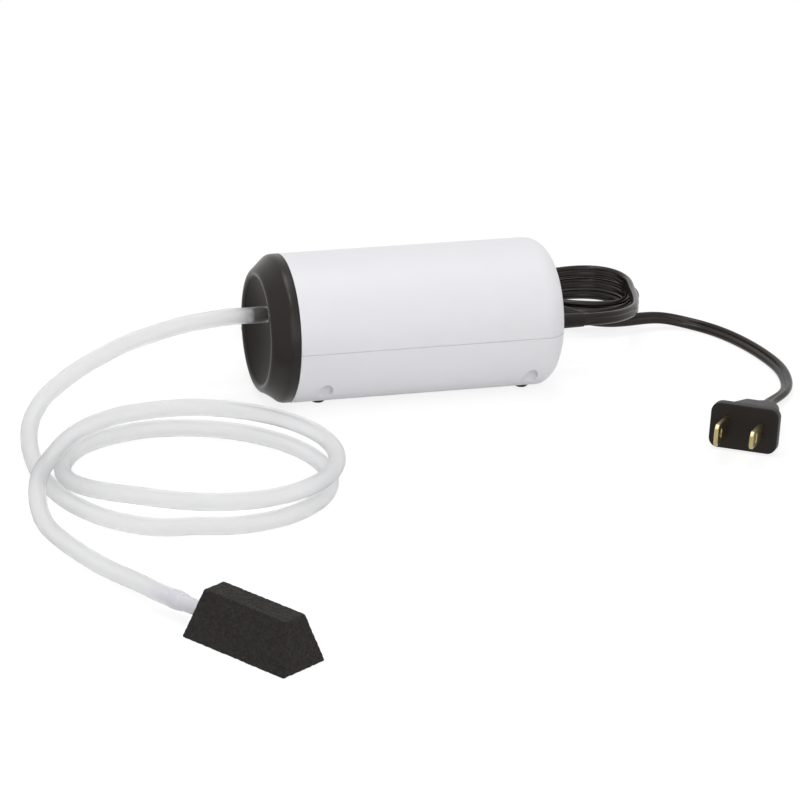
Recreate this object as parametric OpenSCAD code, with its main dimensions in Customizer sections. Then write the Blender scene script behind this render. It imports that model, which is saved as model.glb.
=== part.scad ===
// Aquarium air pump with its air hose, air stone and mains lead.
// Millimetres. +X runs to the rear, where the lead leaves; +Z is up.
// The origin is on the floor under the middle of the pump.

/* [Body] */
// Outside diameter of the tube
body_d = 55; // [50:0.5:60]
// Length of the white tube without the cap
shell_len = 101.5; // [92:0.5:112]
// Wall of the moulded shells
wall = 2.2; // [1.8:0.1:2.4]
// Rounding of the closed rear end
rear_round = 8; // [5:0.5:11]
// Depth of the flat that is cut off under the tube
flat_cut = 4; // [3.6:0.1:4.5]
// Distance from the axis down to the joint between the shells
parting_drop = 0.7; // [0.2:0.1:1.5]

/* [Front cap] */
// How far the cap stands out ahead of the tube
cap_len = 9.8; // [8.5:0.1:11]
// Straight band behind the cap's cone
cap_band = 2.6; // [1.5:0.1:4]
// Diameter of the rim round the dish
rim_d = 43; // [40:0.5:46]
// Depth of the dish at its middle
dish_depth = 5.5; // [4.5:0.1:6]

/* [Nozzle and hose] */
// Height of the nozzle above the tube's axis
nozzle_rise = 6; // [5.5:0.1:6.5]
// Reach of the nozzle's tip ahead of the tube
nozzle_out = 11.5; // [10.5:0.1:14]
// Outside diameter of the air hose
hose_od = 6; // [5.6:0.1:6.2]
// Bore of the air hose
hose_id = 4; // [3.6:0.1:4.2]

/* [Feet and case screws] */
// First pair of screws behind the front of the tube
screw_front = 11.2; // [10.5:0.1:12]
// Second pair of screws ahead of the rear of the tube
screw_rear = 12.2; // [11.5:0.1:13.5]
// Distance of the screws in from the side of the tube
screw_in = 6.7; // [6.5:0.1:7.1]
// Diameter of the screw pockets
pocket_d = 5.6; // [5.2:0.1:6]
// Distance of the feet from the middle plane
foot_out = 10.6; // [10:0.1:11]
// Diameter of a foot
foot_d = 5.6; // [5:0.1:6.4]
// Height of a foot below the flat underside
foot_h = 1.5; // [1:0.1:2.5]

/* [Strain relief] */
// Length of the strain relief behind the tube
relief_out = 15; // [12:0.5:20]
// Distance from the axis down to the strain relief
relief_drop = 5; // [4.6:0.1:5.6]

/* [Pump parts] */
// Thickness of the laminated core
core_h = 12; // [10:0.5:12.5]
// Distance from the core to the rear of the tube
core_rear = 24; // [22:0.5:28]
// How far the fold of the bellows stands out past its lip
bellows_fold = 2; // [1.6:0.1:2.2]
// Diameter of the lever's pin
pin_d = 3; // [2.5:0.1:3.4]

/* [Mains lead] */
// Width of the flat lead
cord_w = 4.8; // [4.4:0.1:4.9]
// Thickness of the flat lead
cord_t = 2.5; // [2.2:0.1:2.6]
// Distance between the blades of the plug
blade_pitch = 12.7; // [12.5:0.1:12.9]

/* [Air stone] */
// Length of the stone at its base
stone_l = 44; // [40:0.5:50]
// Width of the stone at its base
stone_w = 19.3; // [17:0.1:22]
// Height of the stone
stone_h = 16.3; // [14:0.1:18]

/* [Hidden] */
$fn = 64;
// Slack between pieces that slot together
fit = 0.1;
// Radial slack of a running pin
run_fit = 0.05;
// Overcut that keeps cuts from ending on a face
over = 1;
far = 200;

body_r = body_d / 2;
flat_drop = body_r - flat_cut;
// The inner parts are drawn for a tube of 55 and keep their share of its diameter
grow = body_d / 55;
axis_z = flat_drop + foot_h;
parting_z = axis_z - parting_drop;
overall = nozzle_out + shell_len + relief_out;
front_x = nozzle_out - overall / 2;
rear_x = front_x + shell_len;
rear_wall = 2.4;
inner_r = body_r - wall;
floor_z = foot_h + wall;
lip_t = 1;
lip_h = 1;
lip_root = 0.5;
shadow_line = 0.35;

skirt_len = 5;
skirt_t = 1.6;
skirt_r = inner_r - fit;
bead_x = 2.1;
bead_w = 1.2;
bead_h = 0.9;
cap_wall = 2;
rim_r = rim_d / 2;
rim_land = 1.1;
dish_edge = rim_r - rim_land;
dish_r = (dish_edge * dish_edge + dish_depth * dish_depth) / (2 * dish_depth);
dish_floor = cap_len - dish_depth;

nozzle_z = axis_z + nozzle_rise;
boss_r = 4.5;
boss_front = dish_floor + 1.4;
boss_back = 1.5;
shank_r = hose_od / 2;
nozzle_bore = 1.3;
barb_r = hose_id / 2 + 0.25;
barb_root = hose_id / 2 - 0.15;
barb_count = 3;
spigot_in = 4.9;

screw_x = [front_x + screw_front, rear_x - screw_rear];
screw_out = body_r - screw_in;
screw_sides = [-1, 1];
screw_r = 1.45;
screw_head_r = 2.55;
screw_head_h = 2;
pocket_r = pocket_d / 2;
column_r = pocket_r + 1.4;
seat_z = axis_z - 10 * grow;
boss_screw_r = screw_r + run_fit;
upper_boss_r = 3.6;
screw_reach = 18 * grow;
foot_stem_r = 1.5;
foot_head_r = 2.3;
foot_head_h = 1.2;

relief_z = axis_z - relief_drop;
relief_neck_r = 3.4;
relief_r = 4.1;
relief_tip_r = 3.4;
relief_in = 2.6;
relief_grooves = 3;
relief_tail_r = 2.9;
relief_end_r = 2.6;
relief_fat = 0.5 * relief_out;

block_x0 = front_x + skirt_len + 0.8;
block_x1 = block_x0 + 10.7;
block_half = 13 * grow;
block_z0 = axis_z - 12 * grow;
block_z1 = axis_z + 19 * grow;
gasket_t = 0.8;
cover_t = 2;
cover_x0 = block_x0 - gasket_t - cover_t;
socket_len = 2;
septum = 4.7;
plenum_half = 8 * grow;
plenum_z0 = nozzle_z - 2.2;
plenum_z1 = block_z1 - 1.5;
inlet_z0 = block_z0 + 2;
inlet_z1 = plenum_z0 - 1.6;
valve_rise = 6 * grow;
valve_hole_r = 2.1 * grow;
flap_t = 0.8;
flap_r = 3.1 * grow;
inlet_flap_r = 2.5 * grow;
flap_tab = 3;
flap_root = 1;
flap_gap = 0.1;
foot_plate_t = 3;
foot_plate_x1 = block_x1 + 9;
foot_plate_half = 12 * grow;
post_x = block_x1 + 5;
post_y = 8.5 * grow;
post_r = 3;
small_screw_r = 1.2;
small_head_r = 2.1;
small_head_h = 1.6;
cover_screw_y = 10.5 * grow;
cover_screw_z = [axis_z - 9 * grow, axis_z + 16.3 * grow];
cover_screw_len = 10;

lip_r = 10 * grow;
lip_bore = lip_r - 1.2;
bellows_r = lip_r + bellows_fold;
lip_len = 4;
bellows_t = 1.1;
disc_t = 2;
disc_r = 6.2 * grow;

pivot_x = block_x1 + 14.6;
pivot_z = axis_z + 16 * grow;
ear_x0 = block_x0 + 4;
ear_y0 = 11 * grow;
ear_t = 3 * grow;
ear_r = 4.4 * grow;
ear_drop = 3.8 * grow;
ear_rise = 2.4 * grow;
arm_t = 3;
arm_x0 = pivot_x - arm_t / 2;
arm_boss_r = 3.5 * grow;
arm_stem = 10;
arm_lip = 2;
arm_side_gap = 0.5;
bellows_len = arm_x0 - block_x1;
bush_r = 3;
arm_bellows_half = 6 * grow;
magnet_z = axis_z - 8 * grow;
magnet_y = 6.5 * grow;
magnet_w = 9 * grow;
magnet_h = 9 * grow;
magnet_t = 4;
carrier_half = 12 * grow;
carrier_h = 12 * grow;
bellows_end = arm_x0;
washer_t = 1;
washer_r = 5 * grow;
nut_r = 2.6;
nut_t = 2.3;

core_x0 = arm_x0 + arm_t + magnet_t + 3.4;
core_z0 = magnet_z - core_h / 2;
core_half = 18 * grow;
outer_leg = 5 * grow;
leg_mid = core_half - outer_leg / 2;
mid_leg_half = 5 * grow;
yoke_t = 7;
core_x1 = rear_x - core_rear;
leg_len = core_x1 - yoke_t - core_x0;
bobbin_x0 = core_x0 + 2.5;
bobbin_x1 = core_x0 + leg_len - 0.4;
bobbin_gap = 0.2;
bobbin_t = 1;
flange_t = 1;
flange_half = core_half - outer_leg - 0.5;
flange_up = 12 * grow;
core_screw_x = core_x1 - yoke_t / 2;
core_screw_y = core_half - outer_leg / 2;
core_screw_in = 5;
pad_t = 1.5;
pad_x = core_x0 + 3.5;
pad_l = 8;
terminal_y = 6 * grow;
terminal_r = 1;
terminal_h = 2.5;
wire_d = 1.8;

felt_x = core_x1 + 6;
felt_r = 6.1;
felt_wall = 1;
felt_h = 2.8;
hole_r = 1;
hole_ring = 3.6;

plug_pos = [94, -89.2, 8.65];
plug_yaw = 236;
plug_pitch = 8;
plug_w = 24.7;
plug_h = 16;
plug_flange = 5;
plug_len = 38;
blade_len = 17;
blade_in = 4;
blade_t = 1.5;
wide_blade_h = 7.9;
narrow_blade_h = 6.3;
blade_hole_r = 1.6;
blade_hole_x = 12;

stone_pos = [-118.5, -212.3, 0];
stone_yaw = -58;
stone_top_l = stone_l - 8.8;
stone_top_w = stone_w - 10.3;
connector_z = 6;
neck_r = 2.3;
collar_r = 3.5;
collar_l = 5.5;
collar_x = stone_l / 2 + 10;
neck_in = 6;
stone_barb_l = 8;

tie_w = 5;
tie_t = 0.8;
tie_slack = 0.3;

// Middle of the hank's loops, and its turn seen from above
hank_mid = [27.2, 57.5];
hank_yaw = -2;
hank_half = 59.3;
// Radius of the inner loops, the step to the outer ones, and the stretch of the step in turns
hank_r = 14.6;
hank_step = 3.3;
hank_out = 1.92;
hank_out_run = 0.2;
// Rings in one loop, and the ring at which the lead leaves the hank
loop_rings = 24;
hank_last = 91;
hank_pull = 11;
layer_step = cord_w + 0.6;

// Middle and size of the hose's first turn, and how much longer it is one way than the other
coil_mid = [-104, -77.8];
coil_r = 45.4;
coil_lean = 1.6;
coil_lean_at = 145;
// How far the second turn lies to the side of the first one, above it and within it
coil_shift = [4.5, 3.4];
coil_rise = hose_od + 0.6;
coil_less = 1.2;
coil_t0 = 75;
coil_t1 = 645;
coil_step = 360 / loop_rings;
hose_floor = hose_od / 2 + 0.05;
hose_top = hose_floor + coil_rise;

// Placing helpers

// Turns a shape's own +Z to +X, from a point on the pump
module along_x(x, y = 0, z = axis_z) {
    translate([x, y, z])
        rotate([0, 90, 0])
            children();
}

// Turns a shape's own +Z to -X, counted forward from the tube's front
module ahead(y = 0, z = axis_z) {
    translate([front_x, y, z])
        rotate([0, -90, 0])
            children();
}

// Pushes a flat outline drawn in X and Z through the range of Y from y0 to y1
module through_y(y0, y1) {
    translate([0, y1, 0])
        rotate([90, 0, 0])
            linear_extrude(y1 - y0)
                children();
}

// Pushes a flat outline drawn in Y and Z through the range of X from x0 to x1
module through_x(x0, x1) {
    translate([x0, 0, 0])
        rotate([90, 0, 90])
            linear_extrude(x1 - x0)
                children();
}

module block(x, y, z) {
    translate([x[0], y[0], z[0]])
        cube([x[1] - x[0], y[1] - y[0], z[1] - z[0]]);
}

module above(z) {
    block([-far, far], [-far, far], [z, z + far]);
}

module below(z) {
    block([-far, far], [-far, far], [z - far, z]);
}

module at_screws() {
    for (x = screw_x)
        for (s = screw_sides)
            translate([x, s * screw_out, 0])
                children();
}

module rounded_rect(w, h, r) {
    square([w - 2 * r, h], center = true);
    square([w, h - 2 * r], center = true);
    for (x = [-1, 1])
        for (y = [-1, 1])
            translate([x * (w / 2 - r), y * (h / 2 - r)])
                circle(r);
}

// Curves and tubes along a route

function unit(v) = v / norm(v);

function smooth(u) =
    let (c = min(max(u, 0), 1))
    c * c * (3 - 2 * c);

function heading(p, i) = unit(p[min(i + 1, len(p) - 1)] - p[max(i - 1, 0)]);

// One oval ring square to the route, its width turned by roll from level
function ring(p, t, w, h, roll, n) =
    let (side = unit(cross([0, 0, 1], t)), up = cross(t, side))
    [for (k = [0 : n - 1])
        let (a = 360 * (k + 0.5) / n, u = w / 2 * cos(a), v = h / 2 * sin(a))
        p + side * (u * cos(roll) - v * sin(roll)) + up * (u * sin(roll) + v * cos(roll))];

function rings(p, t, w, h, roll, n) =
    [for (i = [0 : len(p) - 1]) each ring(p[i], t[i], w, h, roll[i], n)];

function wall_faces(m, n, start) =
    [for (i = [0 : m - 2])
        for (k = [0 : n - 1])
            let (a = start + i * n + k, b = start + i * n + (k + 1) % n)
            each [[a, b, a + n], [b, b + n, a + n]]];

function flip(faces) = [for (f = faces) [f[2], f[1], f[0]]];

function lid_faces(n, start) = [for (k = [1 : n - 2]) [start, start + k + 1, start + k]];

module cord_tube(p, t, w, h, roll, n) {
    m = len(p);
    polyhedron(
        rings(p, t, w, h, roll, n),
        flip(concat(wall_faces(m, n, 0), lid_faces(n, 0), flip(lid_faces(n, (m - 1) * n)))));
}

// A tube with a bore: the outer rings, then the inner ones, and a rim at each end
module hose_tube(p, t, n) {
    m = len(p);
    level = [for (i = p) 0];
    inner = m * n;
    last = (m - 1) * n;
    rims = [for (k = [0 : n - 1])
        let (l = (k + 1) % n)
        each [[k, inner + k, l], [l, inner + k, inner + l],
            [last + k, last + l, inner + last + k],
            [last + l, inner + last + l, inner + last + k]]];
    polyhedron(
        concat(rings(p, t, hose_od, hose_od, level, n), rings(p, t, hose_id, hose_id, level, n)),
        flip(concat(wall_faces(m, n, 0), flip(wall_faces(m, n, inner)), rims)));
}

function part_of(list, a, b) = [for (i = [a : b]) list[i]];

// Route of the air hose

hose_air = [
    [front_x - boss_front - 0.1, 0, nozzle_z], [front_x - nozzle_out - 1, 0, nozzle_z],
    [-73, 0, nozzle_z], [-82, -1, 30.6], [-92, -2.5, 29.8], [-102, -4, 28], [-111, -5, 25.8],
    [-120, -6.5, 22.5], [-129, -8.5, 18.8], [-137, -12, 15.2], [-143.5, -16.8, 12.3],
    [-148.5, -23.5, 10], [-152.2, -31.8, 8.4], [-154.7, -41, 7], [-156, -51, 5.5],
    [-156.2, -61, 4], [-155.6, -70.5, 3.2], [-154.2, -80, hose_floor],
    [-151.8, -89.5, hose_floor], [-148, -98.5, hose_floor], [-142.5, -107, hose_floor],
    [-135.5, -114, hose_floor], [-126.5, -119, hose_floor]];

hose_out = [
    [-120, -33.5, hose_top], [-129.5, -38.5, hose_top], [-138.5, -46, hose_top],
    [-146, -56, hose_top], [-152, -66.5, hose_top], [-157, -76, hose_top], [-160.5, -84.5, 8.6],
    [-162.6, -93, 6.4], [-163.3, -101.5, 4.4], [-163, -110, 3.3], [-161.5, -118.5, hose_floor],
    [-159.2, -127, hose_floor], [-156.2, -136, hose_floor], [-152.5, -145.5, 3.1],
    [-148.5, -155.5, 3.8], [-144.8, -165.5, 5]];

// The turns start in front and go round by the right; the second one climbs onto the first
function hose_turn(t) =
    let (
        second = smooth((t - 300) / 150),
        climb = smooth((t - 335) / 80),
        r = coil_r - coil_less * second + coil_lean * cos(2 * (t - coil_lean_at)))
    [
        coil_mid[0] + coil_shift[0] * second - r * cos(t),
        coil_mid[1] + coil_shift[1] * second - r * sin(t),
        hose_floor + coil_rise * climb
    ];

hose_turns = [for (t = [coil_t0 : coil_step : coil_t1]) hose_turn(t)];

stone_dir = [cos(stone_yaw), sin(stone_yaw), 0];
hose_end = stone_pos - (collar_x + collar_l) * stone_dir + [0, 0, connector_z];
hose_points = concat(hose_air, hose_turns, hose_out, [hose_end - hose_od * stone_dir, hose_end]);
hose_head = [for (i = [0 : len(hose_points) - 1])
    i < 2 ? [-1, 0, 0] : i > len(hose_points) - 3 ? stone_dir : heading(hose_points, i)];
hose_a = len(hose_air);
hose_b = hose_a + len(hose_turns) - 1;
hose_c = len(hose_points) - 1;
hose_sides = 8;

// Route of the mains lead

function hank_radius(s) = hank_r + hank_step * smooth((s - hank_out) / hank_out_run);

// The first two turns go down a layer each in their second half, and the later ones climb
function second_half(s) = smooth((s - 0.5) / 0.5);

function hank_layer(s) =
    2 - second_half(s) - second_half(s - 1) + second_half(s - 2) + second_half(s - 3);

// A point of the hank in its own frame: k counts rings from the right-hand end of the first loop
function hank_local(k) =
    let (
        q = k % loop_rings,
        s = k / loop_rings,
        r = hank_radius(s),
        quarter = 30 * (q < 3 ? q : q < 9 ? 3 : q < 15 ? q - 6 : q < 21 ? 9 : q - 12),
        run = q < 3 ? 1 : q < 9 ? 1 - (q - 3) / 3 : q < 15 ? -1 : q < 21 ? (q - 15) / 3 - 1 : 1,
        waist = pow(1 - run * run, 1.5))
    [
        hank_half * run + r * cos(quarter),
        (r - hank_pull * waist) * sin(quarter),
        cord_w / 2 + 0.1 + (tie_t + tie_slack - 0.1) * waist + layer_step * hank_layer(s)
    ];

function hank_place(p) = [
    hank_mid[0] + p[0] * cos(hank_yaw) - p[1] * sin(hank_yaw),
    hank_mid[1] + p[0] * sin(hank_yaw) + p[1] * cos(hank_yaw),
    p[2]];

hank_points = [for (k = [0 : hank_last]) hank_place(hank_local(k))];

cord_in = [
    [rear_x + relief_out, 0, relief_z], [rear_x + relief_out + cord_w, 0, relief_z],
    [76, 1.6, 19.6], [83, 6.4, 18.6], [89, 13.6, 17.4], [93, 22.5, 16.1], [96, 32, 14.9],
    [98.4, 41.5, 13.9], [100.2, 49, 13.5]];

cord_out = [
    [61, 41, 12.2], [68.5, 36.4, 9.8], [77, 33.6, 7.4], [86, 32.8, 6], [94.5, 33.8, 5.4],
    [102.5, 35.4, 5], [110.2, 36.2, 4.1], [117.5, 34.1, 2.8], [123.6, 29.5, 1.9],
    [128.2, 21.9, 1.6], [131.8, 12.8, 1.5], [134.4, 2.8, 1.5], [136, -7.6, 1.5],
    [136.4, -18, 1.5], [134.9, -28, 1.6], [131.9, -37, 1.8], [126.9, -44.7, 2.3]];

plug_dir = [
    cos(plug_pitch) * cos(plug_yaw), cos(plug_pitch) * sin(plug_yaw), sin(plug_pitch)];
cord_end = plug_pos - plug_len * plug_dir;
cord_points = concat(cord_in, hank_points, cord_out, [cord_end - cord_w * plug_dir, cord_end]);
cord_head = [for (i = [0 : len(cord_points) - 1])
    i < 2 ? [1, 0, 0] : i > len(cord_points) - 3 ? plug_dir : heading(cord_points, i)];
cord_a = len(cord_in);
cord_b = cord_a + len(hank_points) - 1;
cord_c = len(cord_points) - 1;
cord_sides = 8;
// The lead stands on edge in the hank and turns flat soon after it leaves
cord_roll = [for (i = [0 : cord_c]) 90 * (1 - smooth((i - cord_b - 1) / 4))];

// Least gaps of the wound stretches, measured on points

function to_line(p, a, b) =
    let (f = min(max((p - a) * (b - a) / ((b - a) * (b - a)), 0), 1))
    norm(p - a - f * (b - a));

hose_gap = min([for (i = [0 : 2 : len(hose_points) - 1])
    for (j = [i + 4 : len(hose_points) - 2])
        to_line(hose_points[i], hose_points[j], hose_points[j + 1])]) - hose_od;

function flat_gap(d) = max(norm([d[0], d[1]]) - cord_t, abs(d[2]) - cord_w);

function mixed(p, j, f) = p[j] * (1 - f) + p[j + 1] * f;

hank_gap = min([for (i = [0 : len(hank_points) - 1])
    for (j = [i + 6 : len(hank_points) - 2])
        for (f = [0, 0.5])
            flat_gap(mixed(hank_points, j, f) - hank_points[i])]);

function way(p, a, b) = a >= b ? 0 : norm(p[a + 1] - p[a]) + way(p, a + 1, b);

echo(hose_gap = hose_gap, hank_gap = hank_gap);
echo(hose_length = way(hose_points, 0, hose_c), cord_length = way(cord_points, 0, cord_c));

// Housing

module body_profile(r, length, round) {
    square([r - round, length]);
    square([r, length - round]);
    translate([r - round, length - round])
        circle(round);
}

module body_solid(r, start, length, round, flat_z) {
    difference() {
        along_x(start)
            rotate_extrude()
                body_profile(r, length, round);
        below(flat_z);
    }
}

module shell_outer() {
    body_solid(body_r, front_x, shell_len, rear_round, foot_h);
}

module shell_inner() {
    body_solid(inner_r, front_x - over, shell_len - rear_wall + over, rear_round - wall, floor_z);
}

// A solid whose skin lies in the middle of the wall, which trims the ribs and bosses
module rib_space() {
    body_solid(body_r - wall / 2, front_x, shell_len - rear_wall / 2, rear_round - wall / 2,
        foot_h + wall / 2);
}

module lip_space(slack) {
    intersection() {
        body_solid(inner_r + lip_t + slack, front_x + skirt_len + over,
            shell_len - rear_wall + lip_t + slack - skirt_len - over, rear_round - wall, floor_z);
        block([-far, far], [-far, far], [parting_z - lip_root, parting_z + lip_h + slack]);
    }
}

module cap_groove() {
    along_x(front_x + bead_x - fit)
        cylinder(r = inner_r + bead_h + fit, h = bead_w + 2 * fit);
}

module relief_gap(r, x0, x1) {
    through_x(x0, x1)
        translate([0, relief_z]) {
            circle(r);
            translate([-r, 0])
                square([2 * r, far]);
        }
}

module upper_shell() {
    tongue_x = [rear_x - rear_wall, rear_x];
    tongue_half = relief_neck_r;
    color("white")
        difference() {
            union() {
                difference() {
                    intersection() {
                        shell_outer();
                        above(parting_z);
                    }
                    shell_inner();
                }
                intersection() {
                    rib_space();
                    at_screws()
                        translate([0, 0, parting_z])
                            cylinder(r = upper_boss_r, h = body_r);
                }
                difference() {
                    block(tongue_x, [-tongue_half, tongue_half], [relief_z, parting_z + over]);
                    along_x(tongue_x[0] - over, 0, relief_z)
                        cylinder(r = relief_neck_r + fit, h = rear_wall + 2 * over);
                }
            }
            at_screws()
                translate([0, 0, parting_z - over])
                    cylinder(r = boss_screw_r, h = screw_reach - (parting_z - seat_z) + over + 1);
            cap_groove();
            difference() {
                lip_space(fit);
                block(tongue_x + [-over, over], [-tongue_half - 1, tongue_half + 1],
                    [parting_z - over, parting_z + far]);
            }
            difference() {
                block([-far, far], [-far, far], [parting_z - over, parting_z + shadow_line]);
                body_solid(body_r - shadow_line, front_x - over, shell_len + over - shadow_line,
                    rear_round - shadow_line, 0);
                block([rear_x - rear_wall - over, rear_x + over], [-tongue_half - 1, tongue_half + 1],
                    [0, far]);
            }
        }
}

module core_seats() {
    for (s = screw_sides) {
        block([pad_x, pad_x + pad_l],
            [s * leg_mid - outer_leg / 2, s * leg_mid + outer_leg / 2],
            [0, core_z0 - pad_t]);
        translate([core_screw_x, s * core_screw_y, 0])
            cylinder(r = small_screw_r + 2, h = core_z0);
    }
}

module lower_shell() {
    color("white")
        difference() {
            union() {
                difference() {
                    intersection() {
                        shell_outer();
                        below(parting_z);
                    }
                    shell_inner();
                }
                difference() {
                    lip_space(0);
                    shell_inner();
                    block([rear_x - rear_wall - over, rear_x + over],
                        [-relief_neck_r - 1.5, relief_neck_r + 1.5], [0, far]);
                }
                intersection() {
                    rib_space();
                    below(parting_z);
                    union() {
                        at_screws()
                            cylinder(r = column_r, h = axis_z);
                        core_seats();
                        for (s = screw_sides)
                            translate([post_x, s * post_y, 0])
                                cylinder(r = post_r, h = block_z0 - foot_plate_t);
                        translate([felt_x, 0, 0])
                            cylinder(r = felt_r + fit + felt_wall, h = floor_z + felt_h);
                    }
                }
            }
            at_screws() {
                translate([0, 0, -over])
                    cylinder(r = pocket_r, h = seat_z + over);
                cylinder(r = screw_r + 0.2, h = far);
            }
            for (x = screw_x)
                for (s = screw_sides)
                    translate([x, s * foot_out, 0])
                        cylinder(r = foot_stem_r, h = floor_z + over);
            relief_gap(relief_neck_r + fit, rear_x - rear_wall - over, rear_x + over);
            translate([felt_x, 0, floor_z])
                cylinder(r = felt_r + fit, h = felt_h + over);
            for (k = [0 : 5])
                translate([felt_x + hole_ring * cos(60 * k), hole_ring * sin(60 * k), 0])
                    cylinder(r = hole_r, h = floor_z + over);
            translate([felt_x, 0, 0])
                cylinder(r = hole_r, h = floor_z + over);
            for (s = screw_sides) {
                translate([post_x, s * post_y, floor_z - over / 2])
                    cylinder(r = small_screw_r + run_fit, h = far);
                translate([core_screw_x, s * core_screw_y, core_z0 - core_screw_in - over / 2])
                    cylinder(r = small_screw_r + run_fit, h = far);
            }
            cap_groove();
        }
}

module front_cap() {
    hollow_r = skirt_r - skirt_t;
    hollow_tip = rim_r - cap_wall;
    color("dimgray")
        difference() {
            union() {
                difference() {
                    ahead()
                        rotate_extrude()
                            difference() {
                                polygon([[0, 0], [body_r, 0], [body_r, cap_band], [rim_r, cap_len],
                                    [0, cap_len]]);
                                translate([0, dish_floor + dish_r])
                                    circle(dish_r);
                                difference() {
                                    polygon([[0, -over], [hollow_r, -over],
                                        [hollow_r, cap_band - 0.5], [hollow_tip, cap_len],
                                        [0, cap_len]]);
                                    translate([0, dish_floor + dish_r])
                                        circle(dish_r + cap_wall);
                                }
                            }
                    below(foot_h);
                }
                difference() {
                    ahead()
                        translate([0, 0, -skirt_len])
                            cylinder(r = skirt_r, h = skirt_len + 1.2);
                    ahead()
                        translate([0, 0, -skirt_len - over])
                            cylinder(r = skirt_r - skirt_t, h = skirt_len + 1.2 + 2 * over);
                    below(floor_z + fit);
                }
                difference() {
                    ahead()
                        translate([0, 0, -bead_x - bead_w])
                            cylinder(r = inner_r + bead_h, h = bead_w);
                    ahead()
                        translate([0, 0, -bead_x - bead_w - over])
                            cylinder(r = skirt_r - skirt_t / 2, h = bead_w + 2 * over);
                    below(floor_z + fit);
                }
                ahead(0, nozzle_z)
                    translate([0, 0, boss_back])
                        cylinder(r = boss_r, h = boss_front - boss_back);
                intersection() {
                    ahead()
                        rotate_extrude()
                            polygon([[0, 0], [body_r, 0], [body_r, cap_band], [rim_r, cap_len],
                                [0, cap_len]]);
                    block([-far, far], [-far, far], [foot_h, foot_h + cap_wall]);
                }
            }
            ahead(0, nozzle_z)
                cylinder(r = shank_r + fit, h = cap_len + over);
        }
}

module air_nozzle() {
    barb_len = (nozzle_out - boss_front) / barb_count;
    flange_r = boss_r + 0.6;
    stem = [[nozzle_bore, -spigot_in], [shank_r, -spigot_in], [shank_r, 0], [flange_r, 0],
        [flange_r, boss_back], [shank_r, boss_back], [shank_r, boss_front]];
    barbs = [for (k = [0 : barb_count - 1])
        each [[barb_r, boss_front + k * barb_len], [barb_root, boss_front + (k + 1) * barb_len]]];
    color("black")
        ahead(0, nozzle_z)
            rotate_extrude()
                polygon(concat(stem, barbs, [[nozzle_bore, nozzle_out]]));
}

module rubber_feet() {
    color("black")
        for (x = screw_x)
            for (s = screw_sides)
                translate([x, s * foot_out, 0]) {
                    rotate_extrude()
                        polygon([[0, 0], [foot_d / 2 - 0.7, 0], [foot_d / 2, 0.7],
                            [foot_d / 2, foot_h], [foot_stem_r, foot_h], [foot_stem_r, floor_z],
                            [foot_head_r, floor_z], [foot_stem_r, floor_z + foot_head_h],
                            [0, floor_z + foot_head_h]]);
                }
}

module screw(r, reach, head_r, head_h) {
    cylinder(r = r, h = reach);
    translate([0, 0, -head_h])
        cylinder(r = head_r, h = head_h);
}

module case_screws() {
    color("silver")
        at_screws()
            translate([0, 0, seat_z])
                screw(screw_r, screw_reach, screw_head_r, screw_head_h);
}

module strain_relief() {
    inner_x = rear_x - rear_wall;
    pitch = relief_fat / (relief_grooves + 1);
    color("black")
        difference() {
            union() {
                along_x(inner_x - relief_in - fit, 0, relief_z)
                    cylinder(r = relief_r + 0.5, h = relief_in);
                along_x(inner_x - relief_in, 0, relief_z)
                    cylinder(r = relief_neck_r, h = relief_in + rear_wall + 0.5);
                along_x(rear_x + fit, 0, relief_z)
                    cylinder(r1 = relief_r, r2 = relief_tip_r, h = relief_fat - fit);
                along_x(rear_x + relief_fat - over, 0, relief_z)
                    cylinder(r1 = relief_tail_r, r2 = relief_end_r, h = relief_out - relief_fat + over);
            }
            for (k = [1 : relief_grooves])
                along_x(rear_x + pitch * (k - 0.2), 0, relief_z)
                    difference() {
                        cylinder(r = relief_r + over, h = pitch * 0.4);
                        translate([0, 0, -over])
                            cylinder(r = relief_tail_r, h = pitch + 2 * over);
                    }
        }
}

// Electromagnet

module core_stack() {
    hole = small_screw_r + 0.2;
    color("slategray")
        difference() {
            block([core_x0, core_x1], [-core_half, core_half], [core_z0, core_z0 + core_h]);
            for (s = screw_sides) {
                block([core_x0 - over, core_x0 + leg_len],
                    s > 0 ? [mid_leg_half, core_half - outer_leg] : [outer_leg - core_half, -mid_leg_half],
                    [0, far]);
                translate([core_screw_x, s * core_screw_y, 0])
                    cylinder(r = hole, h = far);
            }
        }
}

module core_pads() {
    inset = 0.3;
    color("black")
        for (s = screw_sides)
            block([pad_x + inset, pad_x + pad_l - inset],
                [s * leg_mid - outer_leg / 2 + inset, s * leg_mid + outer_leg / 2 - inset],
                [core_z0 - pad_t, core_z0]);
}

module core_screws() {
    color("silver")
        for (s = screw_sides)
            translate([core_screw_x, s * core_screw_y, core_z0 + core_h])
                mirror([0, 0, 1])
                    screw(small_screw_r, core_h + core_screw_in, small_head_r, small_head_h);
}

module bobbin() {
    leg_w = mid_leg_half + bobbin_gap;
    leg_h = core_h / 2 + bobbin_gap;
    color("ivory")
        difference() {
            union() {
                block([bobbin_x0, bobbin_x1], [-leg_w - bobbin_t, leg_w + bobbin_t],
                    [magnet_z - leg_h - bobbin_t, magnet_z + leg_h + bobbin_t]);
                for (x = [bobbin_x0, bobbin_x1 - flange_t])
                    block([x, x + flange_t], [-flange_half, flange_half],
                        [magnet_z - flange_up, magnet_z + flange_up]);
                for (s = screw_sides)
                    translate([bobbin_x1 - flange_t / 2, s * terminal_y, magnet_z + flange_up - over])
                        cylinder(r = terminal_r, h = terminal_h + over);
            }
            block([bobbin_x0 - over, bobbin_x1 + over], [-leg_w, leg_w],
                [magnet_z - leg_h, magnet_z + leg_h]);
        }
}

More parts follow.
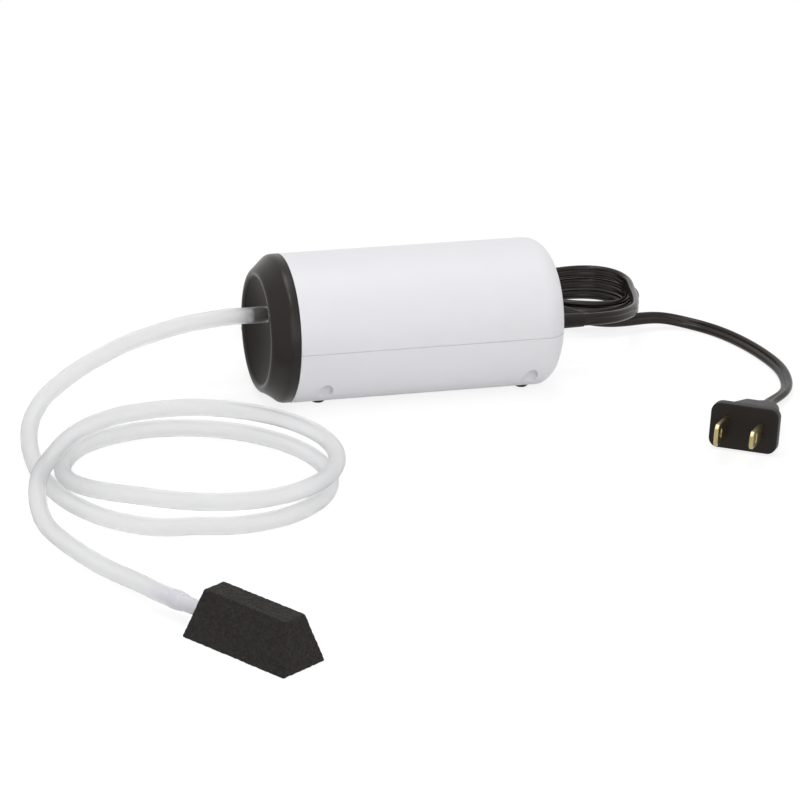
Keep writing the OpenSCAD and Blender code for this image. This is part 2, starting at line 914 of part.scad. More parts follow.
module winding() {
    slack = 0.05;
    inner_w = mid_leg_half + bobbin_gap + bobbin_t + slack;
    inner_h = core_h / 2 + bobbin_gap + bobbin_t + slack;
    color("chocolate")
        through_x(bobbin_x0 + flange_t + slack, bobbin_x1 - flange_t - slack)
            translate([0, magnet_z])
                difference() {
                    rounded_rect(2 * flange_half - 1.4, 2 * flange_up - 1.4, 3);
                    square([2 * inner_w, 2 * inner_h], center = true);
                }
}

module lead_wires() {
    start = rear_x - rear_wall - relief_in - fit;
    end = bobbin_x1 - flange_t / 2 + terminal_r + fit;
    top = magnet_z + flange_up + terminal_h / 2;
    color("saddlebrown")
        for (s = screw_sides) {
            p = [[start, s * 1.3, relief_z], [start - 3, s * 1.3, relief_z],
                [start - 8, s * 3, relief_z + 3], [start - 13, s * 5, top - 2.5],
                [end + 7, s * terminal_y, top], [end + 3, s * terminal_y, top],
                [end, s * terminal_y, top]];
            t = [for (i = [0 : len(p) - 1])
                i < 2 || i > len(p) - 3 ? [-1, 0, 0] : heading(p, i)];
            cord_tube(p, t, wire_d, wire_d, [for (i = p) 0], 6);
        }
}

// Lever and bellows

module swing_arm() {
    color("whitesmoke")
        difference() {
            union() {
                through_x(arm_x0, arm_x0 + arm_t) {
                    translate([-arm_stem / 2, magnet_z])
                        square([arm_stem, pivot_z - magnet_z]);
                    translate([0, nozzle_z])
                        circle(arm_bellows_half);
                    translate([0, magnet_z])
                        rounded_rect(2 * carrier_half, carrier_h, 2);
                }
                through_y(arm_side_gap - ear_y0, ear_y0 - arm_side_gap)
                    translate([pivot_x, pivot_z])
                        circle(arm_boss_r);
                through_x(arm_x0 + arm_t - fit, arm_x0 + arm_t + arm_lip)
                    difference() {
                        translate([0, magnet_z])
                            rounded_rect(2 * carrier_half, carrier_h, 2);
                        for (s = screw_sides)
                            translate([s * magnet_y, magnet_z])
                                square([magnet_w + 2 * fit, magnet_h + 2 * fit], center = true);
                    }
            }
            through_y(-far, far)
                translate([pivot_x, pivot_z])
                    circle(pin_d / 2 + run_fit);
            along_x(arm_x0 - over, 0, nozzle_z)
                cylinder(r = small_screw_r + fit, h = arm_t + 2 * over);
        }
}

module arm_magnets() {
    color("darkslategray")
        for (s = screw_sides)
            block([arm_x0 + arm_t, arm_x0 + arm_t + magnet_t],
                [s * magnet_y - magnet_w / 2, s * magnet_y + magnet_w / 2],
                [magnet_z - magnet_h / 2, magnet_z + magnet_h / 2]);
}

module arm_pin() {
    color("silver")
        through_y(-ear_y0 - ear_t, ear_y0 + ear_t)
            translate([pivot_x, pivot_z])
                circle(pin_d / 2);
}

module pin_bushes() {
    color("black")
        for (s = screw_sides)
            through_y(s > 0 ? ear_y0 : -ear_y0 - ear_t, s > 0 ? ear_y0 + ear_t : -ear_y0)
                translate([pivot_x, pivot_z])
                    difference() {
                        circle(bush_r - 0.02);
                        circle(pin_d / 2 + 0.02);
                    }
}

module bellows() {
    mouth = lip_r + fit;
    skin = mouth + bellows_t;
    fold = bellows_len - lip_len - disc_t;
    color("black")
        along_x(block_x1 + fit, 0, nozzle_z)
            rotate_extrude()
                polygon([[mouth, 0], [skin, 0], [skin, lip_len], [bellows_r, lip_len + fold * 0.35],
                    [disc_r + 0.6, lip_len + fold], [disc_r, bellows_len - 2 * fit],
                    [small_screw_r + fit, bellows_len - 2 * fit],
                    [small_screw_r + fit, bellows_len - disc_t],
                    [disc_r - 1, bellows_len - disc_t],
                    [bellows_r - bellows_t, lip_len + fold * 0.35],
                    [mouth, lip_len]]);
}

module bellows_washer() {
    color("silver")
        along_x(bellows_end - fit - disc_t - washer_t, 0, nozzle_z)
            difference() {
                cylinder(r = washer_r, h = washer_t);
                translate([0, 0, -over])
                    cylinder(r = small_screw_r + fit, h = washer_t + 2 * over);
            }
}

module bellows_screw() {
    color("silver")
        along_x(bellows_end - fit - disc_t - washer_t, 0, nozzle_z)
            screw(small_screw_r, disc_t + washer_t + arm_t + nut_t + 1, small_head_r, small_head_h);
}

module bellows_nut() {
    color("silver")
        along_x(arm_x0 + arm_t, 0, nozzle_z)
            difference() {
                cylinder(r = nut_r, h = nut_t, $fn = 6);
                translate([0, 0, -over])
                    cylinder(r = small_screw_r + run_fit, h = nut_t + 2 * over);
            }
}

// Valves and air chamber

module chamber_outline(half) {
    translate([0, (block_z0 + block_z1) / 2])
        rounded_rect(2 * half, block_z1 - block_z0, 3);
}

module window(z0, z1) {
    translate([-plenum_half, z0])
        square([2 * plenum_half, z1 - z0]);
}

module at_cover_screws() {
    for (s = screw_sides)
        for (z = cover_screw_z)
            translate([s * cover_screw_y, z])
                children();
}

module valve_block() {
    foot_z = block_z0 - foot_plate_t;
    recess = block_x1 - septum;
    color("gainsboro")
        difference() {
            union() {
                through_x(block_x0, block_x1)
                    chamber_outline(block_half);
                block([block_x0, foot_plate_x1], [-foot_plate_half, foot_plate_half],
                    [foot_z, block_z0 + 1]);
                for (s = screw_sides)
                    through_y(s > 0 ? ear_y0 : -ear_y0 - ear_t, s > 0 ? ear_y0 + ear_t : -ear_y0) {
                        translate([pivot_x, pivot_z])
                            circle(ear_r);
                        translate([ear_x0, pivot_z - ear_drop])
                            square([pivot_x - ear_x0, ear_drop + ear_rise]);
                    }
                along_x(block_x1 - over, 0, nozzle_z)
                    cylinder(r = lip_r, h = lip_len + over);
            }
            along_x(block_x1, 0, nozzle_z)
                cylinder(r = lip_bore, h = lip_len + over);
            block([block_x1, foot_plate_x1 + over], [-foot_plate_half - over, foot_plate_half + over],
                [block_z0, block_z0 + 1 + over]);
            through_x(block_x0 - over, recess)
                window(plenum_z0, plenum_z1);
            through_x(block_x0 - over, recess)
                window(inlet_z0, inlet_z1);
            for (s = screw_sides) {
                along_x(block_x0, 0, nozzle_z + s * valve_rise)
                    cylinder(r = valve_hole_r, h = far);
                translate([post_x, s * post_y, 0])
                    cylinder(r = small_screw_r + 0.2, h = block_z0 + over);
            }
            block([block_x0 + 2, recess - 1], [-far, far], [inlet_z0 + 3.5, inlet_z0 + 8.5]);
            through_x(block_x0 - over, cover_x0 + cover_screw_len + over)
                at_cover_screws()
                    circle(small_screw_r + run_fit);
            through_y(-far, far)
                translate([pivot_x, pivot_z])
                    circle(bush_r);
        }
}

module flap(r) {
    circle(r);
    translate([-flap_tab / 2, 0])
        square([flap_tab, r + flap_root]);
}

module inlet_flap() {
    color("black")
        through_x(block_x1 + flap_gap, block_x1 + flap_gap + flap_t)
            translate([0, nozzle_z - valve_rise])
                flap(inlet_flap_r);
}

module outlet_flap() {
    recess = block_x1 - septum;
    color("black")
        through_x(recess - flap_gap - flap_t, recess - flap_gap)
            translate([0, nozzle_z + valve_rise])
                flap(flap_r);
}

module valve_gasket() {
    color("black")
        through_x(block_x0 - gasket_t, block_x0)
            difference() {
                chamber_outline(block_half);
                window(plenum_z0, plenum_z1);
                window(inlet_z0, inlet_z1);
                at_cover_screws()
                    circle(small_screw_r + fit);
            }
}

module chamber_cover() {
    color("gainsboro")
        difference() {
            union() {
                through_x(cover_x0, cover_x0 + cover_t)
                    chamber_outline(block_half);
                along_x(cover_x0 - socket_len, 0, nozzle_z)
                    cylinder(r = shank_r + 1.6, h = socket_len + over);
            }
            along_x(cover_x0 - socket_len - over, 0, nozzle_z)
                cylinder(r = shank_r + run_fit, h = socket_len + cover_t + 2 * over);
            through_x(cover_x0 - over, cover_x0 + cover_t + over)
                at_cover_screws()
                    circle(small_screw_r + 0.2);
        }
}

module cover_screws() {
    color("silver")
        for (s = screw_sides)
            for (z = cover_screw_z)
                along_x(cover_x0, s * cover_screw_y, z)
                    screw(small_screw_r, cover_screw_len, small_head_r, small_head_h);
}

module block_screws() {
    color("silver")
        for (s = screw_sides)
            translate([post_x, s * post_y, block_z0])
                mirror([0, 0, 1])
                    screw(small_screw_r, foot_plate_t + 4.5, small_head_r, small_head_h);
}

module intake_felt() {
    color("beige")
        translate([felt_x, 0, floor_z])
            cylinder(r = felt_r, h = felt_h - 0.3);
}

// Air hose and stone

module hose_part(a, b) {
    color("lightgray")
        hose_tube(part_of(hose_points, a, b), part_of(hose_head, a, b), hose_sides);
}

module hose_from_nozzle() {
    hose_part(0, hose_a);
}

module hose_coil() {
    hose_part(hose_a, hose_b);
}

module hose_to_stone() {
    hose_part(hose_b, hose_c);
}

module at_stone() {
    translate(stone_pos)
        rotate([0, 0, stone_yaw])
            children();
}

module air_stone() {
    color("black")
        at_stone()
            difference() {
                intersection() {
                    through_y(-far, far)
                        polygon([[-stone_l / 2, 0], [stone_l / 2, 0], [stone_top_l / 2, stone_h],
                            [-stone_top_l / 2, stone_h]]);
                    through_x(-far, far)
                        polygon([[-stone_w / 2, 0], [stone_w / 2, 0], [stone_top_w / 2, stone_h],
                            [-stone_top_w / 2, stone_h]]);
                }
                translate([-stone_l / 2 - over, 0, connector_z])
                    rotate([0, 90, 0])
                        cylinder(r = neck_r + run_fit, h = neck_in + over + 0.2);
            }
}

module stone_connector() {
    neck_end = -stone_l / 2 + neck_in;
    whole = stone_barb_l + collar_l + collar_x + neck_end;
    barb = stone_barb_l / 2;
    color("white")
        at_stone()
            translate([0, 0, connector_z])
                rotate([0, 90, 0])
                    difference() {
                        union() {
                            translate([0, 0, -collar_x])
                                cylinder(r = neck_r, h = neck_end + collar_x);
                            translate([0, 0, -collar_x - collar_l])
                                cylinder(r = collar_r, h = collar_l);
                            for (k = [1, 2])
                                translate([0, 0, -collar_x - collar_l - k * barb])
                                    cylinder(r1 = barb_root, r2 = barb_r, h = barb);
                        }
                        translate([0, 0, -collar_x - collar_l - stone_barb_l - over])
                            cylinder(r = nozzle_bore, h = whole + 2 * over);
                    }
}

// Mains lead and plug

module cord_part(a, b) {
    color("black")
        cord_tube(part_of(cord_points, a, b), part_of(cord_head, a, b), cord_w, cord_t,
            part_of(cord_roll, a, b), cord_sides);
}

module cord_to_hank() {
    cord_part(0, cord_a);
}

module cord_hank() {
    cord_part(cord_a, cord_b);
}

module cord_to_plug() {
    cord_part(cord_b, cord_c);
}

module cord_tie() {
    bundle_w = 2 * (hank_r + hank_step - hank_pull + cord_t / 2 + tie_slack);
    bundle_h = cord_w + 2 * layer_step + 2 * tie_slack;
    color("dimgray")
        translate([hank_mid[0], hank_mid[1], 0])
            rotate([0, 0, hank_yaw])
                through_x(-tie_w / 2, tie_w / 2)
                    translate([0, tie_t + bundle_h / 2])
                        difference() {
                            rounded_rect(bundle_w + 2 * tie_t, bundle_h + 2 * tie_t, 3);
                            rounded_rect(bundle_w, bundle_h, 3 - tie_t);
                        }
}

module at_plug() {
    translate(plug_pos)
        rotate([0, -plug_pitch, plug_yaw])
            children();
}

module blade(y, h, slack) {
    block([-blade_in - slack, blade_len], [y - blade_t / 2 - slack, y + blade_t / 2 + slack],
        [-h / 2 - slack, h / 2 + slack]);
}

module drilled_blade(y, h) {
    color("goldenrod")
        at_plug()
            difference() {
                blade(y, h, 0);
                through_y(-far, far)
                    translate([blade_hole_x, 0])
                        circle(blade_hole_r);
            }
}

module wide_blade() {
    drilled_blade(-blade_pitch / 2, wide_blade_h);
}

module narrow_blade() {
    drilled_blade(blade_pitch / 2, narrow_blade_h);
}

// A closed outline from one side of it: the side itself, and its mirror image on the way back
function both_sides(side) =
    concat(side, [for (i = [len(side) - 1 : -1 : 0]) [side[i][0], -side[i][1]]]);

module plug_body() {
    neck = 8;
    // Half width and half height from the lead to the flange
    widths = [[-plug_len, 3.3], [-plug_len + neck, 4.2], [-plug_len + neck + 2, 7.2],
        [-plug_flange - 3, 8.2], [-plug_flange + over, 8.2]];
    heights = [[-plug_len, 2.2], [-plug_len + neck, 2.9], [-plug_len + neck + 2, 4.4],
        [-plug_flange - 3, 6.6], [-plug_flange + over, 6.6]];
    color("black")
        at_plug()
            difference() {
                union() {
                    through_x(-plug_flange, 0)
                        rounded_rect(plug_w, plug_h, 4);
                    intersection() {
                        linear_extrude(far, center = true)
                            polygon(both_sides(widths));
                        through_y(-far, far)
                            polygon(both_sides(heights));
                    }
                }
                blade(-blade_pitch / 2, wide_blade_h, run_fit);
                blade(blade_pitch / 2, narrow_blade_h, run_fit);
            }
}

upper_shell();
lower_shell();
front_cap();
air_nozzle();
rubber_feet();
case_screws();
strain_relief();
lead_wires();
core_stack();
core_pads();
core_screws();
bobbin();
winding();
swing_arm();
arm_magnets();
arm_pin();
pin_bushes();
bellows();
bellows_washer();
bellows_screw();
bellows_nut();
valve_block();
inlet_flap();
outlet_flap();
valve_gasket();
chamber_cover();
cover_screws();
block_screws();
intake_felt();
hose_from_nozzle();
hose_coil();
hose_to_stone();
stone_connector();
air_stone();
cord_to_hank();
cord_hank();
cord_to_plug();
cord_tie();
plug_body();
wide_blade();
narrow_blade();
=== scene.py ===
# %% [markdown]
# # A small aquarium air pump
# The pump stands on four rubber feet. Its hose lies in two turns in front of it and ends in an
# air stone, and its mains lead is tied in a hank behind it. The solids come from the CAD
# model, and this lesson gives them their surfaces, their soft parts, a camera and light.

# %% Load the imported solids
import math

import bpy
import numpy as np
from mathutils import Matrix


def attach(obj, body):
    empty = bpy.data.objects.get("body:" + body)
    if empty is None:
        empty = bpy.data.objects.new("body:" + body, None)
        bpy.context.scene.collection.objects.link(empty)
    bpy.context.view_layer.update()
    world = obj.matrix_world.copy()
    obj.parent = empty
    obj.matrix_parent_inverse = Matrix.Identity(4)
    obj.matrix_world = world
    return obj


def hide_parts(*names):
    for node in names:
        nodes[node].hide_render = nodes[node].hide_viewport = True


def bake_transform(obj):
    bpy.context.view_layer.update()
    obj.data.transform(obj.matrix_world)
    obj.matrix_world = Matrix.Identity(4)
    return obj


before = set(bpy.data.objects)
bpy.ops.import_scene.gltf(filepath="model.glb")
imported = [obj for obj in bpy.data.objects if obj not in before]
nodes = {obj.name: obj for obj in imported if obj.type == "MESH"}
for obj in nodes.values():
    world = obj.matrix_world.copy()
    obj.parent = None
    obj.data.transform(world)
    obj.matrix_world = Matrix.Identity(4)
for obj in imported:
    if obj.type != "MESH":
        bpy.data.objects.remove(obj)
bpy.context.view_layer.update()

# %% [markdown]
# ## Camera
# The photograph was taken from a little above the cap's end with a long lens. Its place was
# worked out from the round cap, the straight tube and the plug. A camera is a place and three
# directions: to the right, up, and back towards the photographer.

# %% Camera
MM = 0.001
camera_place = np.array([-419.9, -1315.6, 532.7]) * MM
turn, tilt, lean = np.radians([-17.447, 21.358, 2.102])
back = np.array([math.sin(turn) * math.cos(tilt), -math.cos(turn) * math.cos(tilt), math.sin(tilt)])
level = np.array([math.cos(turn), math.sin(turn), 0.0])
rise = np.cross(back, level)
right = math.cos(lean) * level + math.sin(lean) * rise
up = math.cos(lean) * rise - math.sin(lean) * level
camera = bpy.data.objects.new("camera", bpy.data.cameras.new("camera"))
camera.data.sensor_width = 36
camera.data.lens = 180
camera.data.clip_end = 20
pose = np.eye(4)
pose[:3] = np.column_stack([right, up, back, camera_place])
camera.matrix_world = Matrix(pose.tolist())
bpy.context.scene.collection.objects.link(camera)
bpy.context.scene.camera = camera
print("camera at", camera_place.round(3))

# %% [markdown]
# ## Helpers for meshes
# Every new piece is a grid: rows of points, with the same number of points in each row. A tube
# is a grid whose rows close on themselves. One function joins the grid with faces, one puts it
# into Blender, and the others carry an outline along a route or turn a profile about an axis.
# Sizes are written in millimetres, as in the CAD model, and become metres in the mesh.

# %% Mesh helpers
def grid_faces(rows, columns, close_rows=False):
    """Joins each point of a grid with the next in its row and the same two of the next row."""
    i = np.arange(rows if close_rows else rows - 1)[:, None]
    j = np.arange(columns)[None, :]
    below, above = i * columns, (i + 1) % rows * columns
    ahead = (j + 1) % columns
    return np.stack([below + j, below + ahead, above + ahead, above + j], -1).reshape(-1, 4).tolist()


def signed_volume(points, faces):
    """The volume under each face, fanned into triangles, added up: positive where they face out."""
    total = 0.0
    for size in {len(f) for f in faces}:
        f = np.array([f for f in faces if len(f) == size])
        for k in range(1, size - 1):
            a, b, c = points[f[:, 0]], points[f[:, k]], points[f[:, k + 1]]
            total += np.einsum("ij,ij->", a, np.cross(b, c)) / 6
    return total


def new_piece(name, points, faces, material, slot, replaced, sharp=40, ring=None, bend=None):
    """Puts points (mm) and faces into a mesh at the origin, faces outwards, smooth up to an angle.
    It stands for CAD nodes, and rides on the case unless a bend is given. A ring gives each point its
    place on a cord. A bend's two places (mm) are not used."""
    points = np.asarray(points, float).reshape(-1, 3)
    volume = signed_volume(points, faces)
    if volume < 0:
        faces = [face[::-1] for face in faces]
    mesh = bpy.data.meshes.new(name)
    mesh.from_pydata((points * MM).tolist(), [], faces)
    mesh.polygons.foreach_set("use_smooth", np.ones(len(mesh.polygons), bool))
    mesh.set_sharp_from_angle(angle=math.radians(sharp))
    mesh.materials.append(material)
    if ring is not None:
        layer = mesh.attributes.new("ring", "FLOAT_VECTOR", "POINT")
        layer.data.foreach_set("vector", np.asarray(ring, np.float32).reshape(-1) * MM)
    made = bpy.data.objects.new(name, mesh)
    bpy.context.scene.collection.objects.link(made)
    if bend is None:
        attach(made, "case")
    else:
        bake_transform(made)
    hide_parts(*replaced)
    print(name, len(points), "points", round(abs(volume)), "mm3")
    return made


def with_ends(grid):
    """Closes a tube of rings: a middle point on each end ring, joined to it by triangles."""
    rows, columns, _ = grid.shape
    points = np.concatenate([grid.reshape(-1, 3), [grid[0].mean(0), grid[-1].mean(0)]])
    j = np.arange(columns)
    ahead, last = (j + 1) % columns, (rows - 1) * columns
    first_fan = np.stack([j * 0 + rows * columns, ahead, j], -1)
    last_fan = np.stack([j * 0 + rows * columns + 1, last + j, last + ahead], -1)
    return points, grid_faces(rows, columns) + first_fan.tolist() + last_fan.tolist()


def filleted(corners, setbacks, steps=7):
    """Rounds the inner corners of a path: each gives way to a quadratic curve that leaves the
    path one setback before the corner, aims at the corner, and joins the path one setback on."""
    corners = np.asarray(corners, float)
    inner = corners[1:-1]
    to_last, to_next = corners[:-2] - inner, corners[2:] - inner
    far = np.asarray(setbacks, float)[:, None]
    start = inner + far * to_last / np.linalg.norm(to_last, axis=1, keepdims=True)
    end = inner + far * to_next / np.linalg.norm(to_next, axis=1, keepdims=True)
    t = np.linspace(0, 1, steps)[None, :, None]
    curves = (1 - t) ** 2 * start[:, None] + 2 * t * (1 - t) * inner[:, None] + t**2 * end[:, None]
    return np.concatenate([corners[:1], curves.reshape(-1, corners.shape[1]), corners[-1:]])


# A turned profile ends on this small radius, and one middle point closes the ring.
end_r = 0.3


def turned(profile, sides):
    """Turns a profile of (distance along, radius) about the axis: one ring for each point."""
    a = np.linspace(0, 2 * np.pi, sides, endpoint=False)
    along, radius = profile[:, :1], profile[:, 1:]
    return np.stack([along + 0 * a, radius * np.cos(a), radius * np.sin(a)], -1)


def set_at(points, place, way):
    """Sets points down at a place: the first number goes along the way, the second to its left,
    and the third upwards."""
    way = np.asarray(way, float) / np.linalg.norm(way)
    left = np.cross([0, 0, 1], way)
    left /= np.linalg.norm(left)
    return place + points @ np.stack([way, left, np.cross(way, left)])


def corner_ring(half_width, half_height, corner, quarter=8):
    """A rounded rectangle: a circle of the corner's radius, its quarters moved out to the corners."""
    a = (np.arange(4)[:, None] * 90 + np.linspace(0, 90, quarter)[None, :]).ravel()
    c, s = np.cos(np.radians(a)), np.sin(np.radians(a))
    right_half = np.repeat([1, -1, -1, 1], quarter)
    top_half = np.repeat([1, 1, -1, -1], quarter)
    half_width, half_height, corner = [np.asarray(value, float)[..., None]
                                       for value in (half_width, half_height, corner)]
    return np.stack([right_half * (half_width - corner) + corner * c,
                     top_half * (half_height - corner) + corner * s], -1)


# %% Routes
def smooth_step(x):
    """Rises from 0 to 1 with level ends: 3 x squared less 2 x cubed."""
    x = np.clip(x, 0, 1)
    return x * x * (3 - 2 * x)


def smooth_route(points, first_way, last_way, spacing, carried):
    """A cubic spline through the points, with set directions at its ends, cut at equal steps.
    The slopes come from one set of linear equations that makes the bend change evenly. A number
    carried by each point is blended along with it."""
    points = np.asarray(points, float)
    gap = np.linalg.norm(np.diff(points, axis=0), axis=1)
    n = len(points)
    left, right_gap = gap[:-1], gap[1:]
    matrix = np.eye(n)
    inner = np.arange(1, n - 1)
    matrix[inner, inner - 1] = right_gap
    matrix[inner, inner] = 2 * (left + right_gap)
    matrix[inner, inner + 1] = left
    step = np.diff(points, axis=0)
    aim = np.zeros((n, 3))
    aim[0], aim[-1] = first_way, last_way
    aim[1:-1] = 3 * (step[:-1] * (right_gap / left)[:, None] + step[1:] * (left / right_gap)[:, None])
    slope = np.linalg.solve(matrix, aim)
    parts = 24
    t = np.arange(parts) / parts
    a, b = (2 * t**3 - 3 * t**2 + 1)[:, None], (t**3 - 2 * t**2 + t)[:, None]
    c, d = (3 * t**2 - 2 * t**3)[:, None], (t**3 - t**2)[:, None]
    fine = (a * points[:-1, None] + b * slope[:-1, None] * gap[:, None, None]
            + c * points[1:, None] + d * slope[1:, None] * gap[:, None, None]).reshape(-1, 3)
    fine = np.concatenate([fine, points[-1:]])
    way = np.concatenate([[0], np.cumsum(np.linalg.norm(np.diff(fine, axis=0), axis=1))])
    places = np.linspace(0, way[-1], int(way[-1] / spacing) + 1)
    route = np.stack([np.interp(places, way, fine[:, k]) for k in range(3)], -1)
    return route, places, np.interp(places, way[::parts], carried)


def carry(route, outline, roll=0.0):
    """Carries a flat outline along a route: each ring is the route's point, plus the outline's
    first number to the left of the way and its second upwards, both turned by roll."""
    way = np.gradient(route, axis=0)
    way /= np.linalg.norm(way, axis=1, keepdims=True)
    side = np.cross([0, 0, 1], way)
    side /= np.linalg.norm(side, axis=1, keepdims=True)
    upward = np.cross(way, side)
    roll = np.broadcast_to(roll, len(route))[:, None]
    across = outline[None, :, 0] * np.cos(roll) - outline[None, :, 1] * np.sin(roll)
    along = outline[None, :, 0] * np.sin(roll) + outline[None, :, 1] * np.cos(roll)
    return route[:, None] + across[..., None] * side[:, None] + along[..., None] * upward[:, None]


def ring_places(places, outline):
    """Each point's place on a straightened cord: distance along, and its place in the outline."""
    along = np.broadcast_to(places[:, None, None], (len(places), len(outline), 1))
    across = np.broadcast_to(outline[None], (len(places), len(outline), 2))
    return np.concatenate([along, across], -1)


def circle(radius, sides):
    """Points round a circle."""
    a = np.linspace(0, 2 * np.pi, sides, endpoint=False)
    return radius * np.stack([np.cos(a), np.sin(a)], -1)


# %% [markdown]
# ## Helpers for materials
# A material is a small tree of nodes. One function adds a node: it sets the node's own
# settings, and each input is either a number or a link from another node. Colours are written
# as they look on a screen and turned to linear light by one function.

# %% Material helpers
def linear(code):
    """An sRGB hex colour as linear red, green and blue, with full alpha."""
    c = np.array([int(code[k:k + 2], 16) for k in (1, 3, 5)]) / 255
    c = np.where(c <= 0.04045, c / 12.92, ((c + 0.055) / 1.055) ** 2.4)
    return (*c.tolist(), 1.0)


def add(tree, kind, inputs=None, **settings):
    """Adds one node with its settings. An input gets a number, a colour or another's output."""
    made = tree.nodes.new(kind)
    for name, value in settings.items():
        setattr(made, name, value)
    for key, value in (inputs or {}).items():
        if isinstance(value, bpy.types.NodeSocket):
            tree.links.new(value, made.inputs[key])
        else:
            made.inputs[key].default_value = value
    return made


def new_material(name):
    """An empty material: its node tree, the surface shader, and points in metres."""
    material = bpy.data.materials.new(name)
    material.use_nodes = True
    tree = material.node_tree
    tree.nodes.clear()
    surface = add(tree, "ShaderNodeBsdfPrincipled")
    add(tree, "ShaderNodeOutputMaterial", {"Surface": surface.outputs["BSDF"]})
    place = add(tree, "ShaderNodeTexCoord").outputs["Object"]
    print("material:", name)
    return material, tree, surface, place


def per_mm(size):
    """The scale of a pattern whose features are that many millimetres across."""
    return 1 / (size * MM)


gloss_spread, drift_mm = 0.08, 9


def grainy(name, dark, light, roughness, grain_mm, bump_mm, **sockets):
    """A moulded or cast surface: colour drifts a little between two tones over a few
    millimetres, and a fine grain of the given size lifts it and varies its gloss. Real grain of
    this kind is mostly under a tenth of a millimetre, so it is drawn coarser to show."""
    material, tree, surface, place = new_material(name)
    drift = add(tree, "ShaderNodeTexNoise", {"Vector": place, "Scale": per_mm(drift_mm), "Detail": 3.0})
    tone = add(tree, "ShaderNodeMix", {0: drift.outputs["Fac"], 6: linear(dark), 7: linear(light)},
               data_type="RGBA")
    grain = add(tree, "ShaderNodeTexNoise", {"Vector": place, "Scale": per_mm(grain_mm), "Detail": 2.0})
    gloss = add(tree, "ShaderNodeMapRange", {0: grain.outputs["Fac"], 3: roughness - gloss_spread,
                                             4: roughness + gloss_spread})
    bump = add(tree, "ShaderNodeBump", {"Height": grain.outputs["Fac"], "Distance": bump_mm * MM,
                                        "Strength": 1.0})
    for socket, value in {"Base Color": tone.outputs[2], "Roughness": gloss.outputs[0],
                          "Normal": bump.outputs[0]}.items():
        tree.links.new(value, surface.inputs[socket])
    for socket, value in sockets.items():
        surface.inputs[socket.replace("_", " ")].default_value = value
    return material


# %% [markdown]
# ## Air hose
# Clear airline hose is soft PVC, 6 mm outside and 4 mm inside. It leaves the nozzle level, sags
# to the floor, lies in two loose turns and comes back over itself to the stone. A tube swept
# along one spline with a real bore was chosen, because light then meets four walls, which gives
# the pale middle and the grey edges of such hose. Its wall is milky, and it is clear only where
# the nozzle's barbs stretch it.

# %% Hose material
# Extruded PVC shows faint streaks along its length. They are 0.9 mm wide and fade over 60 mm.
hose_pvc, tree, surface, place = new_material("clear soft PVC, extruded")
ring = add(tree, "ShaderNodeAttribute", attribute_name="ring")
drawn_out = add(tree, "ShaderNodeMapping", {"Vector": ring.outputs["Vector"], "Scale": (0.015, 1, 1)})
streak = add(tree, "ShaderNodeTexNoise", {"Vector": drawn_out.outputs[0], "Scale": per_mm(0.9),
                                          "Detail": 2.0})
tone = add(tree, "ShaderNodeMix", {0: streak.outputs["Fac"], 6: linear("#F0F0F1"), 7: linear("#F8F8F8")},
           data_type="RGBA")
gloss = add(tree, "ShaderNodeMapRange", {0: streak.outputs["Fac"], 3: 0.42, 4: 0.58})
# The barbs end 64 mm in front of the middle, and there the wall turns milky within a millimetre.
barbs_end = -64
along_x = add(tree, "ShaderNodeSeparateXYZ", {0: place})
at_barbs = add(tree, "ShaderNodeMapRange", {0: along_x.outputs["X"], 1: (barbs_end - 0.5) * MM,
                                            2: (barbs_end + 0.5) * MM})
# Seen along the wall there is more of it, so its edges stay milky.
along_wall = add(tree, "ShaderNodeLayerWeight", {"Blend": 0.5})
stretched = add(tree, "ShaderNodeMapRange", {0: along_wall.outputs["Facing"], 1: 0.45, 2: 0.9,
                                             3: 0.94, 4: 0.4})
clear = add(tree, "ShaderNodeMix", {0: at_barbs.outputs[0], 2: 0.8, 3: stretched.outputs[0]})
for socket, value in {"Base Color": tone.outputs[2], "Roughness": gloss.outputs[0],
                      "Transmission Weight": clear.outputs[0]}.items():
    tree.links.new(value, surface.inputs[socket])
# PVC has an index of about 1.53. It is set lower here, because the photograph shows the hose
# evenly milky, with little of the bent light that clear tube would show.
surface.inputs["IOR"].default_value = 1.12

# %% Hose route and tube
hose_od, hose_id, hose_sides = 6, 4, 32
route_spacing = 1.4
hose_floor, coil_rise = 3.05, 6.6
hose_top = hose_floor + coil_rise
# The route's points are the CAD model's, apart from the end at the connector.
hose_air = [[-58.3, 0, 31], [-65, 0, 31], [-73, 0, 31], [-82, -1, 30.6], [-92, -2.5, 29.8],
            [-102, -4, 28], [-111, -5, 25.8], [-120, -6.5, 22.5], [-129, -8.5, 18.8], [-137, -12, 15.2],
            [-143.5, -16.8, 12.3], [-148.5, -23.5, 10], [-152.2, -31.8, 8.4], [-154.7, -41, 7],
            [-156, -51, 5.5], [-156.2, -61, 4], [-155.6, -70.5, 3.2], [-154.2, -80, hose_floor],
            [-151.8, -89.5, hose_floor], [-148, -98.5, hose_floor], [-142.5, -107, hose_floor],
            [-135.5, -114, hose_floor], [-126.5, -119, hose_floor]]
hose_out = [[-120, -33.5, hose_top], [-129.5, -38.5, hose_top], [-138.5, -46, hose_top],
            [-146, -56, hose_top], [-152, -66.5, hose_top], [-157, -76, hose_top], [-160.5, -84.5, 8.6],
            [-162.6, -93, 6.4], [-163.3, -101.5, 4.4], [-163, -110, 3.3], [-161.5, -118.5, hose_floor],
            [-159.2, -127, hose_floor], [-156.2, -136, hose_floor], [-152.5, -145.5, 3.1],
            [-148.5, -155.5, 3.8], [-144.8, -165.5, 5]]
# The coil's middle and radius, how much longer it is one way, and what changes in its second turn.
coil_x, coil_y, coil_r, coil_long = -104, -77.8, 45.4, 1.6
slide_x, slide_y, shrink = 4.5, 3.4, 1.2
